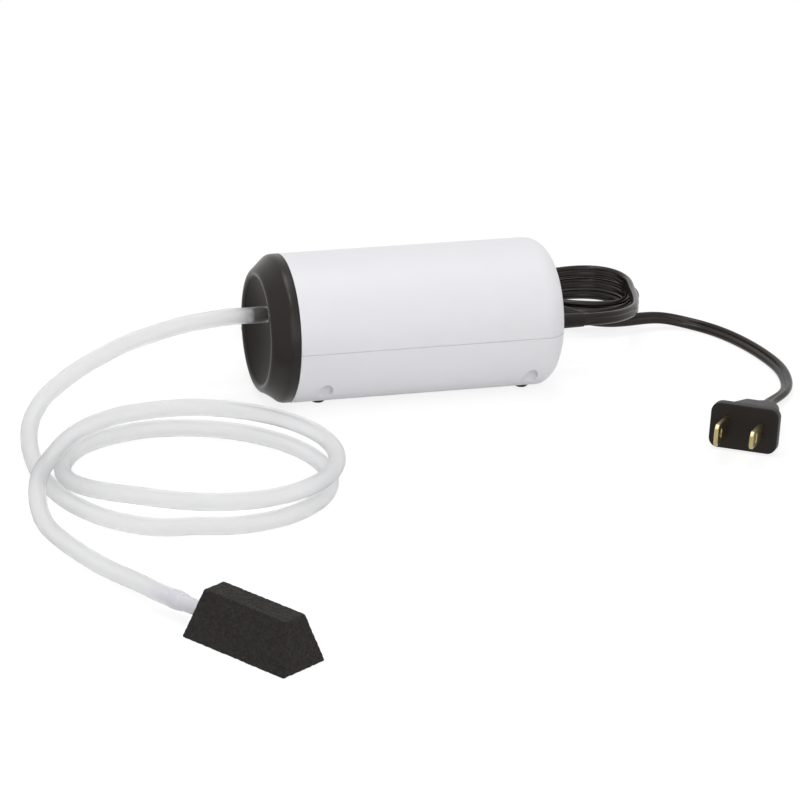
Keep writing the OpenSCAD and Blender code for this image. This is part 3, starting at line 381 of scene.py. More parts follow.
# Angles in degrees: where the turns start and stop, slide and climb, and where they are longest.
coil_start, coil_stop, coil_step = 75, 646, 15.0
slide_at, slide_over, climb_at, climb_over, long_at = 300, 150, 335, 80, 145


def hose_turns():
    """Two turns of a circle that is a little longer one way. Its middle slides and its radius
    shrinks as the second turn starts, and that turn climbs onto the first."""
    t = np.arange(coil_start, coil_stop, coil_step)
    second = smooth_step((t - slide_at) / slide_over)
    climb = smooth_step((t - climb_at) / climb_over)
    r = coil_r - shrink * second + coil_long * np.cos(np.radians(2 * (t - long_at)))
    return np.stack([coil_x + slide_x * second - r * np.cos(np.radians(t)),
                     coil_y + slide_y * second - r * np.sin(np.radians(t)),
                     hose_floor + coil_rise * climb], -1)


stone_place = np.array([-118.5, -212.3, 0])
stone_yaw = math.radians(-58)
stone_way = np.array([math.cos(stone_yaw), math.sin(stone_yaw), 0])
connector_z, collar_x = 6, 35.5
hose_end = stone_place - collar_x * stone_way + [0, 0, connector_z]
hose_points = np.concatenate([hose_air, hose_turns(), hose_out, [hose_end - hose_od * stone_way, hose_end]])
hose_route, hose_places, _ = smooth_route(hose_points, [-1, 0, 0], stone_way, route_spacing,
                                          np.zeros(len(hose_points)))
outside, bore = circle(hose_od / 2, hose_sides), circle(hose_id / 2, hose_sides)
walls = np.concatenate([carry(hose_route, outside), carry(hose_route, bore)[::-1]])
hose_ring = np.concatenate([ring_places(hose_places, outside), ring_places(hose_places, bore)[::-1]])
hose = new_piece("air_hose", walls, grid_faces(*walls.shape[:2], close_rows=True), hose_pvc, "clear_hose",
                 ["hose_from_nozzle", "hose_coil", "hose_to_stone"], ring=hose_ring)
print("hose length", round(hose_places[-1]))

# %% [markdown]
# ## Mains lead
# The lead is a flat twin cord: two round wires side by side with a shallow groove between them.
# It leaves the strain relief on edge, goes round in a hank that a tie draws in at the waist, leans
# on one core on its way to the plug and lies flat where it enters. A curve with a bevel and a tilt
# could do this too. Here the outline, two circles joined by a web, is carried along one spline
# together with its turn, because each point's place along the lead is then known to the material.

# %% Lead material
# Extruded PVC: fine lines along the lead, and a gloss that shows each wire as a light ridge.
lead_pvc, tree, surface, place = new_material("black PVC, extruded")
ring = add(tree, "ShaderNodeAttribute", attribute_name="ring")
drawn_out = add(tree, "ShaderNodeMapping", {"Vector": ring.outputs["Vector"], "Scale": (0.03, 1, 1)})
lines = add(tree, "ShaderNodeTexNoise", {"Vector": drawn_out.outputs[0], "Scale": per_mm(0.5),
                                         "Detail": 3.0})
tone = add(tree, "ShaderNodeMix", {0: lines.outputs["Fac"], 6: linear("#17110D"), 7: linear("#231A15")},
           data_type="RGBA")
gloss = add(tree, "ShaderNodeMapRange", {0: lines.outputs["Fac"], 3: 0.17, 4: 0.28})
bump = add(tree, "ShaderNodeBump", {"Height": lines.outputs["Fac"], "Distance": 0.03 * MM,
                                    "Strength": 1.0})
for socket, value in {"Base Color": tone.outputs[2], "Roughness": gloss.outputs[0],
                      "Normal": bump.outputs[0]}.items():
    tree.links.new(value, surface.inputs[socket])
surface.inputs["Specular IOR Level"].default_value = 0.28

# %% Lead route and cord
cord_w, cord_t = 4.8, 2.5
# The route's points are the CAD model's. Only heights differ, in the hank, where the lead leans
# and at the plug.
cord_in = [[64, 0, 20], [68.8, 0, 20], [76, 1.6, 19.6], [83, 6.4, 18.6], [89, 13.6, 17.4],
           [93, 22.5, 16.1], [96, 32, 14.9], [98.4, 41.5, 13.9], [100.2, 49, 13.5]]
cord_out = [[61, 41, 12.2], [68.5, 36.4, 9.8], [77, 33.6, 7.4], [86, 32.8, 6], [94.5, 33.8, 5.4],
            [102.5, 35.4, 5], [110.2, 36.2, 4.1], [117.5, 34.1, 2.8], [123.6, 29.5, 1.9],
            [128.2, 21.9, 1.6], [131.8, 12.8, 1.5], [134.4, 2.8, 1.5], [136, -7.6, 1.5],
            [136.4, -18, 1.5], [134.9, -28, 1.6], [131.9, -37, 1.8], [126.9, -44.7, 2.3]]
hank_middle = np.array([27.2, 57.5, 0])
hank_yaw = math.radians(-2)
hank_way = np.array([math.cos(hank_yaw), math.sin(hank_yaw), 0])
hank_half, hank_r, hank_step, hank_pull = 59.3, 14.6, 3.3, 11
# The turn where the outer loops start, over how much of a turn, and the number of points in all.
hank_out, hank_out_run, hank_count = 1.92, 0.2, 92
# The tie presses the layers closer together than in the solid, and holds the lowest just off
# the floor.
layer_step, hank_lift = cord_w + 0.3, 0.45
tie_t, tie_slack = 0.8, 0.3


def hank_layer(s):
    """The layer after s turns: it goes down by one in the second half of the first two turns,
    and climbs by one in the second half of each later one."""
    down = smooth_step(2 * s - 1) + smooth_step(2 * s - 3)
    climb = smooth_step(2 * s - 5) + smooth_step(2 * s - 7)
    return 2 - down + climb


def hank_points():
    """Loops of 24 points: two half circles with points 30 degrees apart, and two runs of 6 steps.
    The outer loops have a larger radius, and the tie draws the runs in and lifts them at their
    middle."""
    k = np.arange(hank_count)
    q, s = k % 24, k / 24
    r = hank_r + hank_step * smooth_step((s - hank_out) / hank_out_run)
    angle = np.radians(30 * np.select([q < 3, q < 9, q < 15, q < 21], [q, 3, q - 6, 9], q - 12))
    run = np.select([q < 3, q < 9, q < 15, q < 21], [1, 1 - (q - 3) / 3, -1, (q - 15) / 3 - 1], 1)
    waist = (1 - run**2) ** 1.5
    height = cord_w / 2 + hank_lift + (tie_t + tie_slack - hank_lift) * waist
    return np.stack([hank_half * run + r * np.cos(angle), (r - hank_pull * waist) * np.sin(angle),
                     height + layer_step * hank_layer(s)], -1)


plug_place = np.array([94, -89.2, 8.85])
plug_yaw, plug_pitch = math.radians(236), math.radians(8)
plug_way = np.array([math.cos(plug_pitch) * math.cos(plug_yaw),
                     math.cos(plug_pitch) * math.sin(plug_yaw), math.sin(plug_pitch)])
plug_len = 38
cord_end = plug_place - plug_len * plug_way
hank = set_at(hank_points(), hank_middle, hank_way)
cord_points = np.concatenate([cord_in, hank, cord_out, [cord_end - cord_w * plug_way, cord_end]])
hank_end = len(cord_in) + len(hank) - 1
# In the hank the lead stands on edge, then it leans on one core, and at the plug it lies flat.
lead_lean, lean_points, flat_points, floor_gap = 0.7, 7, 4, 0.08
count = np.arange(len(cord_points))
past_hank, before_end = count - hank_end - 1, count - len(cord_points) + 1
on_edge = np.pi / 2 + (lead_lean - np.pi / 2) * smooth_step(past_hank / lean_points)
on_edge -= lead_lean * smooth_step((before_end + flat_points) / flat_points)
# The lower core rests on the floor, so a leaning lead lies a little higher.
lowest = cord_t / 2 + floor_gap + (cord_w - cord_t) / 2 * np.sin(on_edge)
cord_points[:, 2] = np.maximum(cord_points[:, 2], lowest)
cord_route, cord_places, cord_roll = smooth_route(cord_points, [1, 0, 0], plug_way, route_spacing, on_edge)
web_share, twin_sides = 0.35, 44


def twin_outline(sides):
    """Half width times cosine across; upwards the higher of two circles' arcs and a flat web."""
    a = np.linspace(0, 2 * np.pi, sides, endpoint=False) + np.pi / sides
    radius, web = cord_t / 2, web_share * cord_t / 2
    across = cord_w / 2 * np.cos(a)
    middle = cord_w / 2 - radius
    arc = np.sqrt(np.maximum(radius**2 - (np.abs(across) - middle) ** 2, 0))
    return np.stack([across, np.sign(np.sin(a)) * np.maximum(arc, web * (np.abs(across) < middle))], -1)


twin = twin_outline(twin_sides)
lead_ring = np.concatenate([ring_places(cord_places, twin).reshape(-1, 3), np.zeros((2, 3))])
lead = new_piece("mains_lead", *with_ends(carry(cord_route, twin, cord_roll)), lead_pvc, "black_lead",
                 ["cord_to_hank", "cord_hank", "cord_to_plug"], sharp=60, ring=lead_ring)
print("lead length", round(cord_places[-1]))

# %% [markdown]
# ## Tie round the hank
# A soft flat band holds the hank at its waist. A flattened ring could stand for it, but its
# thickness would change on the way round. So it is a rounded rectangle, with a thin rounded
# section carried round it.

# %% Tie
# Rubber is dark and dull, so the band stands apart from the glossy lead.
tie_rubber = grainy("black rubber band, extruded", "#1F1C1B", "#2A2725", 0.6, 0.7, 0.03)
tie_w, tie_corner, tie_edge = 5, 2.6, 0.35
bundle_w = 2 * (hank_r + hank_step - hank_pull + cord_t / 2 + tie_slack)
bundle_h = cord_w + 2 * layer_step + 2 * tie_slack


def band_loop(half_width, half_height, corner, section):
    """Each point of a rounded rectangle, moved outwards by the section's second number and along
    the bundle by its first."""
    loop = corner_ring(half_width, half_height, corner, quarter=9)
    inner = corner_ring(half_width - 1, half_height - 1, corner - 1, quarter=9)
    moved = loop[:, None] + (loop - inner)[:, None] * section[None, :, 1:]
    along = np.broadcast_to(section[None, :, :1], moved.shape[:2] + (1,))
    return np.concatenate([along, moved], -1)


band = band_loop(bundle_w / 2 + tie_t / 2, bundle_h / 2 + tie_t / 2, tie_corner,
                 corner_ring(tie_w / 2, tie_t / 2, tie_edge, quarter=4))
band = set_at(band, hank_middle + [0, 0, tie_t + bundle_h / 2], hank_way)
tie = new_piece("hank_tie", band, grid_faces(*band.shape[:2], close_rows=True), tie_rubber,
                "black_lead", ["cord_tie"])

# %% [markdown]
# ## Dished front cap
# The cap is moulded in black ABS and snaps into the tube. A short band lies flush with the tube,
# a cone leads to the rim, and a shallow ball-shaped dish lies inside the rim. Its profile is
# turned about the tube's axis. The mould's edges are rounded, and these roundings carry the two
# light lines that show the form. The underside is flat, as the tube's is, so heights below it are
# pressed up to it by a soft maximum.

# %% Cap material
body_r, axis_z, front_x, foot_h, floor_z = 27.5, 25, -52.5, 1.5, 3.7
# The nozzle's ABS is nearly black, with a soft gloss.
black_abs = grainy("black ABS, moulded with fine grain", "#1F1B19", "#26221F", 0.38, 0.6, 0.012,
                   Specular_IOR_Level=0.3)
# The mould is polished round the cone and the rim, and blasted matt inside the dish.
cap_abs, tree, surface, place = new_material("black ABS, polished and matt")
drift = add(tree, "ShaderNodeTexNoise", {"Vector": place, "Scale": per_mm(drift_mm), "Detail": 3.0})
tone = add(tree, "ShaderNodeMix", {0: drift.outputs["Fac"], 6: linear("#17110D"), 7: linear("#1F1814")},
           data_type="RGBA")
from_axis = add(tree, "ShaderNodeVectorMath", {0: place, 1: (0, 0, -axis_z * MM)}, operation="ADD")
from_axis = add(tree, "ShaderNodeVectorMath", {0: from_axis.outputs[0], 1: (0, 1, 1)}, operation="MULTIPLY")
from_axis = add(tree, "ShaderNodeVectorMath", {0: from_axis.outputs[0]}, operation="LENGTH")
matt_r, polish_r = 19.5 * MM, 20.6 * MM
rough = add(tree, "ShaderNodeMapRange", {0: from_axis.outputs["Value"], 1: matt_r, 2: polish_r,
                                         3: 0.5, 4: 0.3})
shine = add(tree, "ShaderNodeMapRange", {0: from_axis.outputs["Value"], 1: matt_r, 2: polish_r,
                                         3: 0.12, 4: 0.3})
grain = add(tree, "ShaderNodeTexNoise", {"Vector": place, "Scale": per_mm(0.6), "Detail": 2.0})
bump = add(tree, "ShaderNodeBump", {"Height": grain.outputs["Fac"], "Distance": 0.008 * MM,
                                    "Strength": 1.0})
for socket, value in {"Base Color": tone.outputs[2], "Roughness": rough.outputs[0],
                      "Specular IOR Level": shine.outputs[0], "Normal": bump.outputs[0]}.items():
    tree.links.new(value, surface.inputs[socket])
# An export may drop the linked shine, so the socket itself holds the value of the polished part.
surface.inputs["Specular IOR Level"].default_value = 0.3

# %% Cap
cap_len, cap_band, cap_wall, rim_r, dish_depth = 9.8, 3.6, 2, 21.5, 5.5
skirt_r, skirt_t, skirt_len, seam = 25.2, 1.6, 5, 0.12
rim_w, rim_out, inner_corners = 2.4, 0.5, 4
cap_sides, dish_count, behind_count, corner_steps = 160, 40, 12, 7
dish_r = (rim_r**2 + dish_depth**2) / (2 * dish_depth)


def dish(r, wall=0):
    """How far forward the dish is at a radius: a ball pressed into the cap, or a wall behind it."""
    return cap_len - dish_depth + dish_r - np.sqrt((dish_r + wall) ** 2 - r**2)


def cap_profile():
    """From the dish's middle over the rim, the cone and the band to the skirt, and back behind
    the wall to the middle."""
    edge = rim_r - rim_w
    r = np.linspace(end_r, edge, dish_count)
    behind = np.linspace(skirt_r - skirt_t - 3, end_r, behind_count)
    around = filleted(
        [[dish(edge), edge], [cap_len + rim_out, rim_r], [cap_band, body_r], [seam, body_r],
         [seam, skirt_r], [-skirt_len, skirt_r], [-skirt_len, skirt_r - skirt_t],
         [cap_band, skirt_r - skirt_t], [dish(behind[0], cap_wall), behind[0]]],
        [1.8, 1.4, 0.2, 0.05, 0.3, 0.3, 0.6], corner_steps)
    front = np.stack([dish(r[:-1]), r[:-1]], -1)
    rear = np.stack([dish(behind[1:], cap_wall), behind[1:]], -1)
    return np.concatenate([front, around, rear])


def press_up(z, lowest, softness=0.3):
    """A soft maximum: the middle of z and the lowest height, plus half their rounded distance."""
    return (z + lowest + np.sqrt((z - lowest) ** 2 + softness**2)) / 2


profile = cap_profile()
cap = set_at(turned(profile, cap_sides), np.array([front_x, 0, axis_z]), [-1, 0, 0])
# The skirt's four rounded corners and the points behind the wall lie inside the tube.
inside = np.arange(len(profile)) >= len(profile) - behind_count - inner_corners * corner_steps
cap[..., 2] = press_up(cap[..., 2], np.where(inside, floor_z, foot_h)[:, None])
new_piece("dished_cap", *with_ends(cap), cap_abs, "grey_plastic", ["front_cap"], sharp=50)

# %% [markdown]
# ## Strain relief
# Soft black PVC is moulded round the lead where it leaves the tube: a short thick sleeve and a
# thin tail, which lets it bend. Stacked cylinders would leave hard steps, so one rounded profile
# is turned about the lead.

# %% Strain relief
# Moulded soft PVC is nearly black, and duller than the lead.
soft_pvc = grainy("black soft PVC, moulded", "#191512", "#211C19", 0.5, 0.6, 0.02, Specular_IOR_Level=0.2)
rear_x, relief_z, rear_wall = 49, 20, 2.4
relief_fat, relief_out, grip_len, grip_r, relief_sides = 3.2, 15, 2.7, 4.6, 48
relief_r, relief_tip_r, relief_neck_r, relief_tail_r, relief_end_r = 4.1, 3.8, 3.4, 2.8, 2.6


def relief_profile():
    """A collar inside the wall, a neck through it, a short thick sleeve and a tapering tail."""
    return filleted(
        [[-rear_wall - grip_len, end_r], [-rear_wall - grip_len, grip_r], [-rear_wall - 0.1, grip_r],
         [-rear_wall - 0.1, relief_neck_r], [0.1, relief_neck_r], [0.1, relief_r],
         [relief_fat, relief_tip_r], [relief_fat + 0.3, relief_tail_r], [relief_out, relief_end_r],
         [relief_out, end_r]],
        [0.3, 0.2, 0.1, 0.1, 0.1, 0.5, 0.2, 0.4], steps=5)


sleeve_grid = set_at(turned(relief_profile(), relief_sides), np.array([rear_x, 0, relief_z]), [1, 0, 0])
new_piece("bend_relief", *with_ends(sleeve_grid), soft_pvc, "black_rubber", ["strain_relief"])

# %% [markdown]
# ## Mains plug
# The plug is moulded on the lead: a flat face with rounded corners, a body behind it that tapers
# to the lead, and a slim neck. It is a loft: each ring is a rounded rectangle whose half width,
# half height and corner radius follow a path, with the path's corners rounded too.

# %% Plug body
plug_w, plug_h, plug_flange = 24.7, 16.4, 5
# Each row: distance along the plug, half width, half height and corner radius.
stations = filleted(
    [[-plug_len, 2.9, 1.7, 1.6], [-plug_len, 3.3, 2.2, 2.0], [-30.4, 4.2, 2.9, 2.4], [-28.2, 7.2, 4.4, 2.8],
     [-8, 8.6, 7.3, 3.2], [-plug_flange, 8.6, 7.3, 3.2], [-plug_flange, plug_w / 2, plug_h / 2, 3.4],
     [0, plug_w / 2, plug_h / 2, 3.4], [0, plug_w / 2 - 1.2, plug_h / 2 - 1.2, 2.2]],
    [0.3, 0.5, 1.2, 2.0, 0.8, 0.7, 0.7], steps=6)
rings = corner_ring(stations[:, 1], stations[:, 2], stations[:, 3])
loft = np.concatenate([np.broadcast_to(stations[:, None, :1], rings.shape[:2] + (1,)), rings], -1)
plug = new_piece("mains_plug", *with_ends(set_at(loft, plug_place, plug_way)), soft_pvc, "black_lead",
                 ["plug_body"])

# %% [markdown]
# ## Plug blades
# The blades are stamped from brass sheet, with a hole near the tip and a bevelled end. A plate
# with a hole is a ring: its grid goes from the hole over one face to the outline, round the edge
# and back over the other face. Seen from the hole, each point of the outline lies where a ray
# meets the nearest side.

# %% Blades
# Rolled brass is a soft mirror, with tarnish in patches and fine scuffs, drawn at 0.25 mm to show.
brass, tree, surface, place = new_material("brass sheet, rolled and stamped")
scuffs = add(tree, "ShaderNodeTexNoise", {"Vector": place, "Scale": per_mm(0.25), "Detail": 2.0})
tarnish = add(tree, "ShaderNodeTexNoise", {"Vector": place, "Scale": per_mm(5), "Detail": 3.0})
tone = add(tree, "ShaderNodeMix", {0: tarnish.outputs["Fac"], 6: linear("#9C8C60"), 7: linear("#C2B488")},
           data_type="RGBA")
gloss = add(tree, "ShaderNodeMapRange", {0: scuffs.outputs["Fac"], 3: 0.20, 4: 0.36})
tree.links.new(tone.outputs[2], surface.inputs["Base Color"])
tree.links.new(gloss.outputs[0], surface.inputs["Roughness"])
surface.inputs["Metallic"].default_value = 1.0
blade_t, blade_len, blade_in, hole_x, hole_r = 1.5, 17, 4, 12, 1.6
blade_off, blade_sides, corner_cut = 6.35, 96, 1.4


def blade_ring(half_height, inset):
    """For each direction from the hole, the nearest of the blade's four sides and two cut corners."""
    a = np.linspace(0, 2 * np.pi, blade_sides, endpoint=False)
    tip, root = blade_len - hole_x - inset, hole_x + blade_in - inset
    half = half_height - inset
    c, s = np.cos(a), np.sin(a)
    sides_at = [(c, tip), (-c, root), (s, half), (-s, half), (c + s, tip + half - corner_cut),
                (c - s, tip + half - corner_cut)]
    tiny, beyond = 1e-6, 1e6
    reach = np.min([np.where(ray > tiny, far / np.maximum(ray, tiny), beyond) for ray, far in sides_at], 0)
    return np.stack([reach * c, reach * s], -1)


def blade_grid(y, half_height):
    """Rings from the hole's edge over the face to the outline and back over the other face."""
    edge, half_t = 0.25, blade_t / 2
    hole, hole_edge = circle(hole_r, blade_sides), circle(hole_r + edge, blade_sides)
    rim, face = blade_ring(half_height, 0), blade_ring(half_height, edge)
    layers = [(hole, half_t - edge), (hole_edge, half_t), (face, half_t), (rim, half_t - edge),
              (rim, edge - half_t), (face, -half_t), (hole_edge, -half_t), (hole, edge - half_t)]
    return np.stack([np.stack([hole_x + p[:, 0], y + off + 0 * p[:, 0], p[:, 1]], -1) for p, off in layers])


for name, y, height, node in [("wide_brass_blade", -blade_off, 7.9, "wide_blade"),
                              ("narrow_brass_blade", blade_off, 6.3, "narrow_blade")]:
    plate = set_at(blade_grid(y, height / 2), plug_place, plug_way)
    faces = grid_faces(*plate.shape[:2], close_rows=True)
    new_piece(name, plate, faces, brass, "blade_brass", [node], sharp=25)

# %% [markdown]
# ## Air stone and its connector
# The stone is mineral grit bonded in a mould, a long block with sloping sides. Seen from its
# middle, its surface lies where a ray meets the faces, and a high power mean of the faces rounds
# the edges. Grit is a random height for each point of a cube lattice, blended between them. The
# connector is a turned profile of natural plastic, with a collar against the hose.

# %% Stone
# Black grit in resin: dull, with paler grains here and there.
bonded_grit, tree, surface, place = new_material("black mineral grit, bonded")
grains = add(tree, "ShaderNodeTexVoronoi", {"Vector": place, "Scale": per_mm(0.7)})
patch = add(tree, "ShaderNodeTexNoise", {"Vector": place, "Scale": per_mm(6), "Detail": 2.0})
tint = add(tree, "ShaderNodeSeparateColor", {0: grains.outputs["Color"]})
grain_tone = add(tree, "ShaderNodeMapRange", {0: tint.outputs[0], 1: 0.5, 2: 1.0, 3: 0.0, 4: 0.7})
tone = add(tree, "ShaderNodeMix", {0: grain_tone.outputs[0], 6: linear("#201D1C"), 7: linear("#363230")},
           data_type="RGBA")
tone = add(tree, "ShaderNodeMix", {0: patch.outputs["Fac"], 6: tone.outputs[2], 7: linear("#272422")},
           data_type="RGBA")
gloss = add(tree, "ShaderNodeMapRange", {0: tint.outputs[1], 3: 0.72, 4: 0.98})
tree.links.new(tone.outputs[2], surface.inputs["Base Color"])
tree.links.new(gloss.outputs[0], surface.inputs["Roughness"])
surface.inputs["Specular IOR Level"].default_value = 0.3
stone_l, stone_w, stone_h, top_l, top_w = 44, 19.3, 16.3, 35.2, 9
# Two sizes of grit: how wide its grains are and how much their height varies.
coarse_mm, coarse_lift, fine_mm, fine_lift = 0.95, 0.26, 0.45, 0.24
cells, stone_rows, stone_columns = 64, 200, 420
lattice = np.random.default_rng(11).random((cells, cells, cells))


def grit(points, size):
    """Random heights on a cube lattice of that spacing, blended smoothly between its corners."""
    cell = np.floor(points / size).astype(int)
    part = smooth_step(points / size - cell)
    total = np.zeros(points.shape[:-1])
    for corner in np.ndindex(2, 2, 2):
        weight = np.prod(np.where(corner, part, 1 - part), -1)
        i = (cell + corner) % cells
        total += weight * lattice[i[..., 0], i[..., 1], i[..., 2]]
    return total - 0.5


def stone_grid(rows, columns):
    """Rays from the middle, spread as on an ellipsoid: their length is the power mean of the six
    faces, and two sizes of grit lift or lower it."""
    a = (np.arange(rows) + 0.5)[:, None] / rows * np.pi
    b = np.arange(columns)[None, :] / columns * 2 * np.pi
    half_l, half_w, middle, power, underside = 22, 8, 7, 60, 0.02
    ray = np.stack([half_l * np.cos(a) + 0 * b, half_w * np.sin(a) * np.cos(b),
                    half_w * np.sin(a) * np.sin(b)], -1)
    ray /= np.linalg.norm(ray, axis=-1, keepdims=True)
    end, side = (stone_l - top_l) / 2 / stone_h, (stone_w - top_w) / 2 / stone_h
    faces = [(ray[..., 0] + end * ray[..., 2], stone_l / 2 - end * middle),
             (-ray[..., 0] + end * ray[..., 2], stone_l / 2 - end * middle),
             (ray[..., 1] + side * ray[..., 2], stone_w / 2 - side * middle),
             (-ray[..., 1] + side * ray[..., 2], stone_w / 2 - side * middle),
             (ray[..., 2], stone_h - middle), (-ray[..., 2], middle)]
    near = sum(np.maximum(towards / far, 0) ** power for towards, far in faces) ** (1 / power)
    points = ray / near[..., None]
    lift = coarse_lift * grit(points, coarse_mm) + fine_lift * grit(points + 9, fine_mm)
    points += ray * lift[..., None]
    points[..., 2] = np.maximum(points[..., 2] + middle, underside)
    return points


block = set_at(stone_grid(stone_rows, stone_columns), stone_place, stone_way)
stone = new_piece("grit_stone", *with_ends(block), bonded_grit, "bonded_grit", ["air_stone"], sharp=75)

# %% Connector
# Polyethylene without dye is white, and lets a little light through.
natural_plastic = grainy("natural polyethylene, moulded", "#EBEAF1", "#F4F3F8", 0.4, 0.8, 0.01,
                         Transmission_Weight=0.25, IOR=1.5)
# Measured from the hose's end: a nipple with two barbs inside the hose, then a collar, a ring and
# a neck that ends in the stone.
nipple_len, neck_end, connector_sides = 8, 19.5, 48
connector_profile = filleted(
    [[-nipple_len, end_r], [-nipple_len, 1.8], [-4.1, 2.2], [-4, 1.8], [-0.1, 2.2], [0, 3.2], [3.3, 3.2],
     [3.6, 2.95], [5.1, 2.95], [5.5, 2.6], [neck_end, 2.5], [neck_end, end_r]],
    [0.2, 0.05, 0.05, 0.05, 0.4, 0.12, 0.12, 0.2, 0.15, 0.2], steps=5)
connector = set_at(turned(connector_profile, connector_sides), hose_end, stone_way)
connector_piece = new_piece("hose_connector", *with_ends(connector), natural_plastic, "natural_plastic",
                            ["stone_connector"])

# %% [markdown]
# ## Plastic, rubber and metal of the solids
# The housing's solids already have the right shapes, so they only get their finish. They could be
# modelled again as grids, but that would add nothing that shows. White ABS comes from a mould
# with a fine spark-eroded grain, which softens the gloss. The grain is drawn at 0.7 mm so that it
# shows.

# %% Finishes of the solids
# Even white, with a broad soft gloss.
white_abs = grainy("white ABS, moulded with fine grain", "#E9E9ED", "#EDEDF0", 0.40, 0.7, 0.008)
# Dark grey and dull, with hardly any gloss.
black_rubber = grainy("black rubber, moulded", "#191716", "#221F1E", 0.75, 0.5, 0.03)
# Milky and a little waxy.
stiff_plastic = grainy("natural polypropylene, moulded", "#DDDCD6", "#E8E7E2", 0.45, 0.8, 0.01)
# Bright grey, like a blurred mirror.
zinc = grainy("zinc-plated steel", "#A8A9AB", "#C2C3C5", 0.35, 0.5, 0.004, Metallic=1.0)
# Darker and duller than the plated screws.
core_steel = grainy("silicon steel, stamped", "#55575A", "#6C6E71", 0.5, 0.5, 0.02, Metallic=1.0)
# Red-brown with the gloss of enamel, and fine ripples like wires.
copper = grainy("enamelled copper wire, wound", "#8E3F16", "#B0561F", 0.35, 0.35, 0.05, Metallic=1.0)
# Dull dark grey, like slate.
ferrite = grainy("ferrite, ground", "#2B2B2D", "#3A3A3C", 0.55, 0.3, 0.01)
# Dark brown with a soft gloss.
brown_pvc = grainy("brown PVC insulation", "#3F2414", "#54321D", 0.45, 0.6, 0.01)
# Pale, without gloss, with a rough nap.
felt_wool = grainy("wool felt, pressed", "#C9BFA6", "#DBD3BF", 0.95, 0.35, 0.12)
finishes = {
    white_abs: ["upper_shell", "lower_shell"],
    black_abs: ["air_nozzle"],
    black_rubber: ["rubber_feet", "core_pads", "pin_bushes", "inlet_flap", "outlet_flap", "valve_gasket"],
    stiff_plastic: ["bobbin", "swing_arm", "valve_block", "chamber_cover"],
    zinc: ["case_screws", "core_screws", "arm_pin", "bellows_washer", "bellows_screw", "bellows_nut",
           "cover_screws", "block_screws"],
    core_steel: ["core_stack"],
    copper: ["winding"],
    ferrite: ["arm_magnets"],
    brown_pvc: ["lead_wires"],
    felt_wool: ["intake_felt"],
}
for material, names in finishes.items():
    for name in names:
        nodes[name].data.materials.clear()
        nodes[name].data.materials.append(material)
print("finishes:", len(finishes))

# %% [markdown]
# ## Bellows
# The rubber bellows is stretched over the lip of the valve block, and its disc is screwed to the
# arm. A stiff solid would be cut by the arm when it swings. The bellows is a mesh of its own: a
# closed profile turned about its axis, from the lip to the disc.

# %% Bellows
bellows_place, bellows_len = np.array([-35.9, 0, 31]), 12.9
lip_r, lip_skin_r, lip_len, fold_r, fold_x, rubber_t = 10.1, 11.2, 4, 12, 6.5, 1.1
disc_x, disc_r, screw_hole_r, seam_r, bellows_sides = 11.1, 6.2, 1.3, 10.7, 72
bellows_profile = filleted(
    [[0, seam_r], [0, lip_skin_r], [lip_len, lip_skin_r], [fold_x, fold_r], [disc_x, disc_r + 0.6],
     [bellows_len, disc_r], [bellows_len, screw_hole_r], [disc_x, screw_hole_r], [disc_x, disc_r - 1],
     [fold_x, fold_r - rubber_t], [lip_len, lip_r], [0, lip_r], [0, seam_r]],
    [0.3, 0.6, 1.0, 0.6, 0.4, 0.1, 0.1, 0.4, 0.8, 0.5, 0.2])[:-1]
bellows = set_at(turned(bellows_profile, bellows_sides), bellows_place, [1, 0, 0])
lip_end, disc_start = bellows_place + [lip_len, 0, 0], bellows_place + [disc_x - 0.6, 0, 0]
new_piece("rubber_bellows", bellows, grid_faces(*bellows.shape[:2], close_rows=True), black_rubber,
          "black_rubber", ["bellows"], bend=[lip_end, disc_start])

# %% Cords
print("cords:", hose.name, lead.name)

# %% [markdown]
# ## Floor, light and background
# The photograph has a plain white ground. The floor is white for every ray that brings light to
# the pump, and for the camera most of its white is its own, so that only a soft shadow shows. A
# curved paper backdrop could do this too, but it would need lamps of its own to look this white.
# Large soft lamps above and in front light the white tube evenly, and a small one adds sharper
# highlights.

# %% Floor
def rays_that_see(tree):
    """1 for rays that show the background: from the camera, off gloss and through clear parts."""
    path = add(tree, "ShaderNodeLightPath")
    seen = add(tree, "ShaderNodeMath", {0: path.outputs["Is Camera Ray"], 1: path.outputs["Is Glossy Ray"]},
               operation="MAXIMUM")
    seen = add(tree, "ShaderNodeMath", {0: seen.outputs[0], 1: path.outputs["Is Transmission Ray"]},
               operation="MAXIMUM")
    return seen.outputs[0]


floor_mesh = bpy.data.meshes.new("floor")
span = 30.0
floor_mesh.from_pydata([(-span, -span, 0), (span, -span, 0), (span, span, 0), (-span, span, 0)], [],
                       [(0, 1, 2, 3)])
floor = bpy.data.objects.new("floor", floor_mesh)
bpy.context.scene.collection.objects.link(floor)
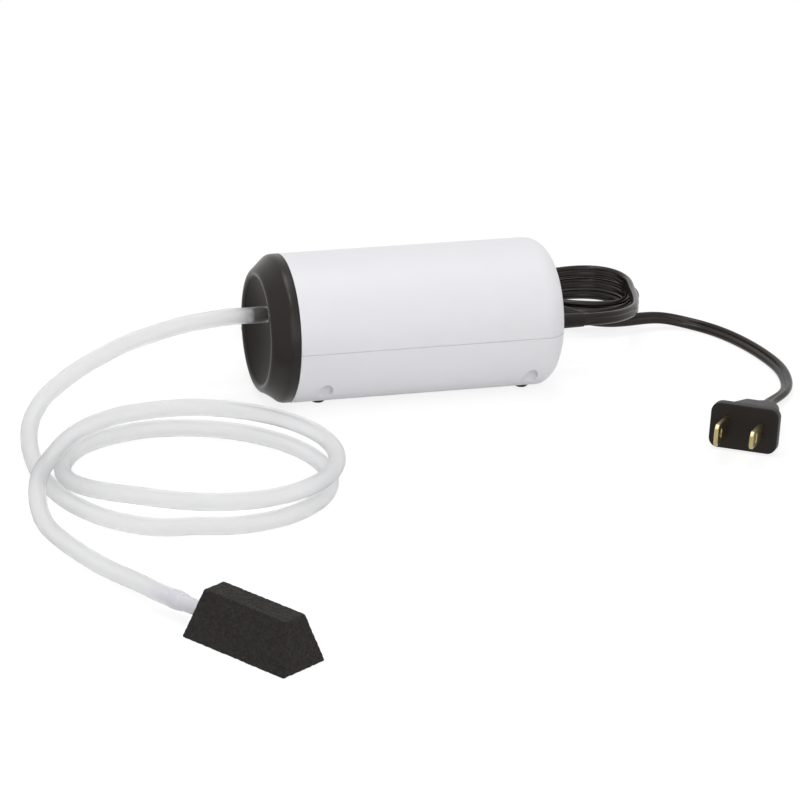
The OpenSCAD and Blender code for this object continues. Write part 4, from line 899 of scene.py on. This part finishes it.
# Paper is bright and without gloss, and it keeps the pump's soft shadow.
ground = bpy.data.materials.new("white paper ground")
ground.use_nodes = True
tree = ground.node_tree
tree.nodes.clear()
paper = add(tree, "ShaderNodeBsdfDiffuse", {"Color": linear("#E8E8E8")})
faint = add(tree, "ShaderNodeBsdfDiffuse", {"Color": (0.22, 0.22, 0.22, 1)})
glow = add(tree, "ShaderNodeEmission", {"Strength": 0.83})
shown = add(tree, "ShaderNodeAddShader", {0: faint.outputs[0], 1: glow.outputs[0]})
mixed = add(tree, "ShaderNodeMixShader", {0: rays_that_see(tree), 1: paper.outputs[0], 2: shown.outputs[0]})
add(tree, "ShaderNodeOutputMaterial", {"Surface": mixed.outputs[0]})
floor_mesh.materials.append(ground)
print("floor", 2 * span, "m wide")

# %% World and lamps
world = bpy.data.worlds.new("studio")
bpy.context.scene.world = world
world.use_nodes = True
tree = world.node_tree
tree.nodes.clear()
soft = add(tree, "ShaderNodeBackground", {"Color": (1, 1, 1, 1), "Strength": 0.53})
white = add(tree, "ShaderNodeBackground", {"Color": (1, 1, 1, 1), "Strength": 1.0})
mixed = add(tree, "ShaderNodeMixShader", {0: rays_that_see(tree), 1: soft.outputs[0], 2: white.outputs[0]})
add(tree, "ShaderNodeOutputWorld", {"Surface": mixed.outputs[0]})


def softbox(name, place, aim, size, power):
    """A square lamp at a place, turned so that its light goes towards a point. One side is square
    to a direction that no lamp points along."""
    lamp = bpy.data.lights.new(name, "AREA")
    lamp.size, lamp.energy = size, power
    made = bpy.data.objects.new(name, lamp)
    away = np.array(place, float) - aim
    away /= np.linalg.norm(away)
    no_lamp_way = [0, 1, 0.01]
    across = np.cross(no_lamp_way, away)
    across /= np.linalg.norm(across)
    turned_to = np.eye(4)
    turned_to[:3] = np.column_stack([across, np.cross(away, across), away, place])
    made.matrix_world = Matrix(turned_to.tolist())
    bpy.context.scene.collection.objects.link(made)
    print(name, size, "m", power, "W")


softbox("top_box", (-0.1, 0.1, 1.3), (0, 0, 0), 0.6, 4.4)
softbox("front_box", (-0.2, -1.6, 0.5), (0, 0, 0.03), 1.4, 6.6)
softbox("key_lamp", (-0.1, -0.5, 1.2), (0, 0, 0.03), 0.14, 1.6)
bpy.context.scene.view_settings.view_transform = "Standard"
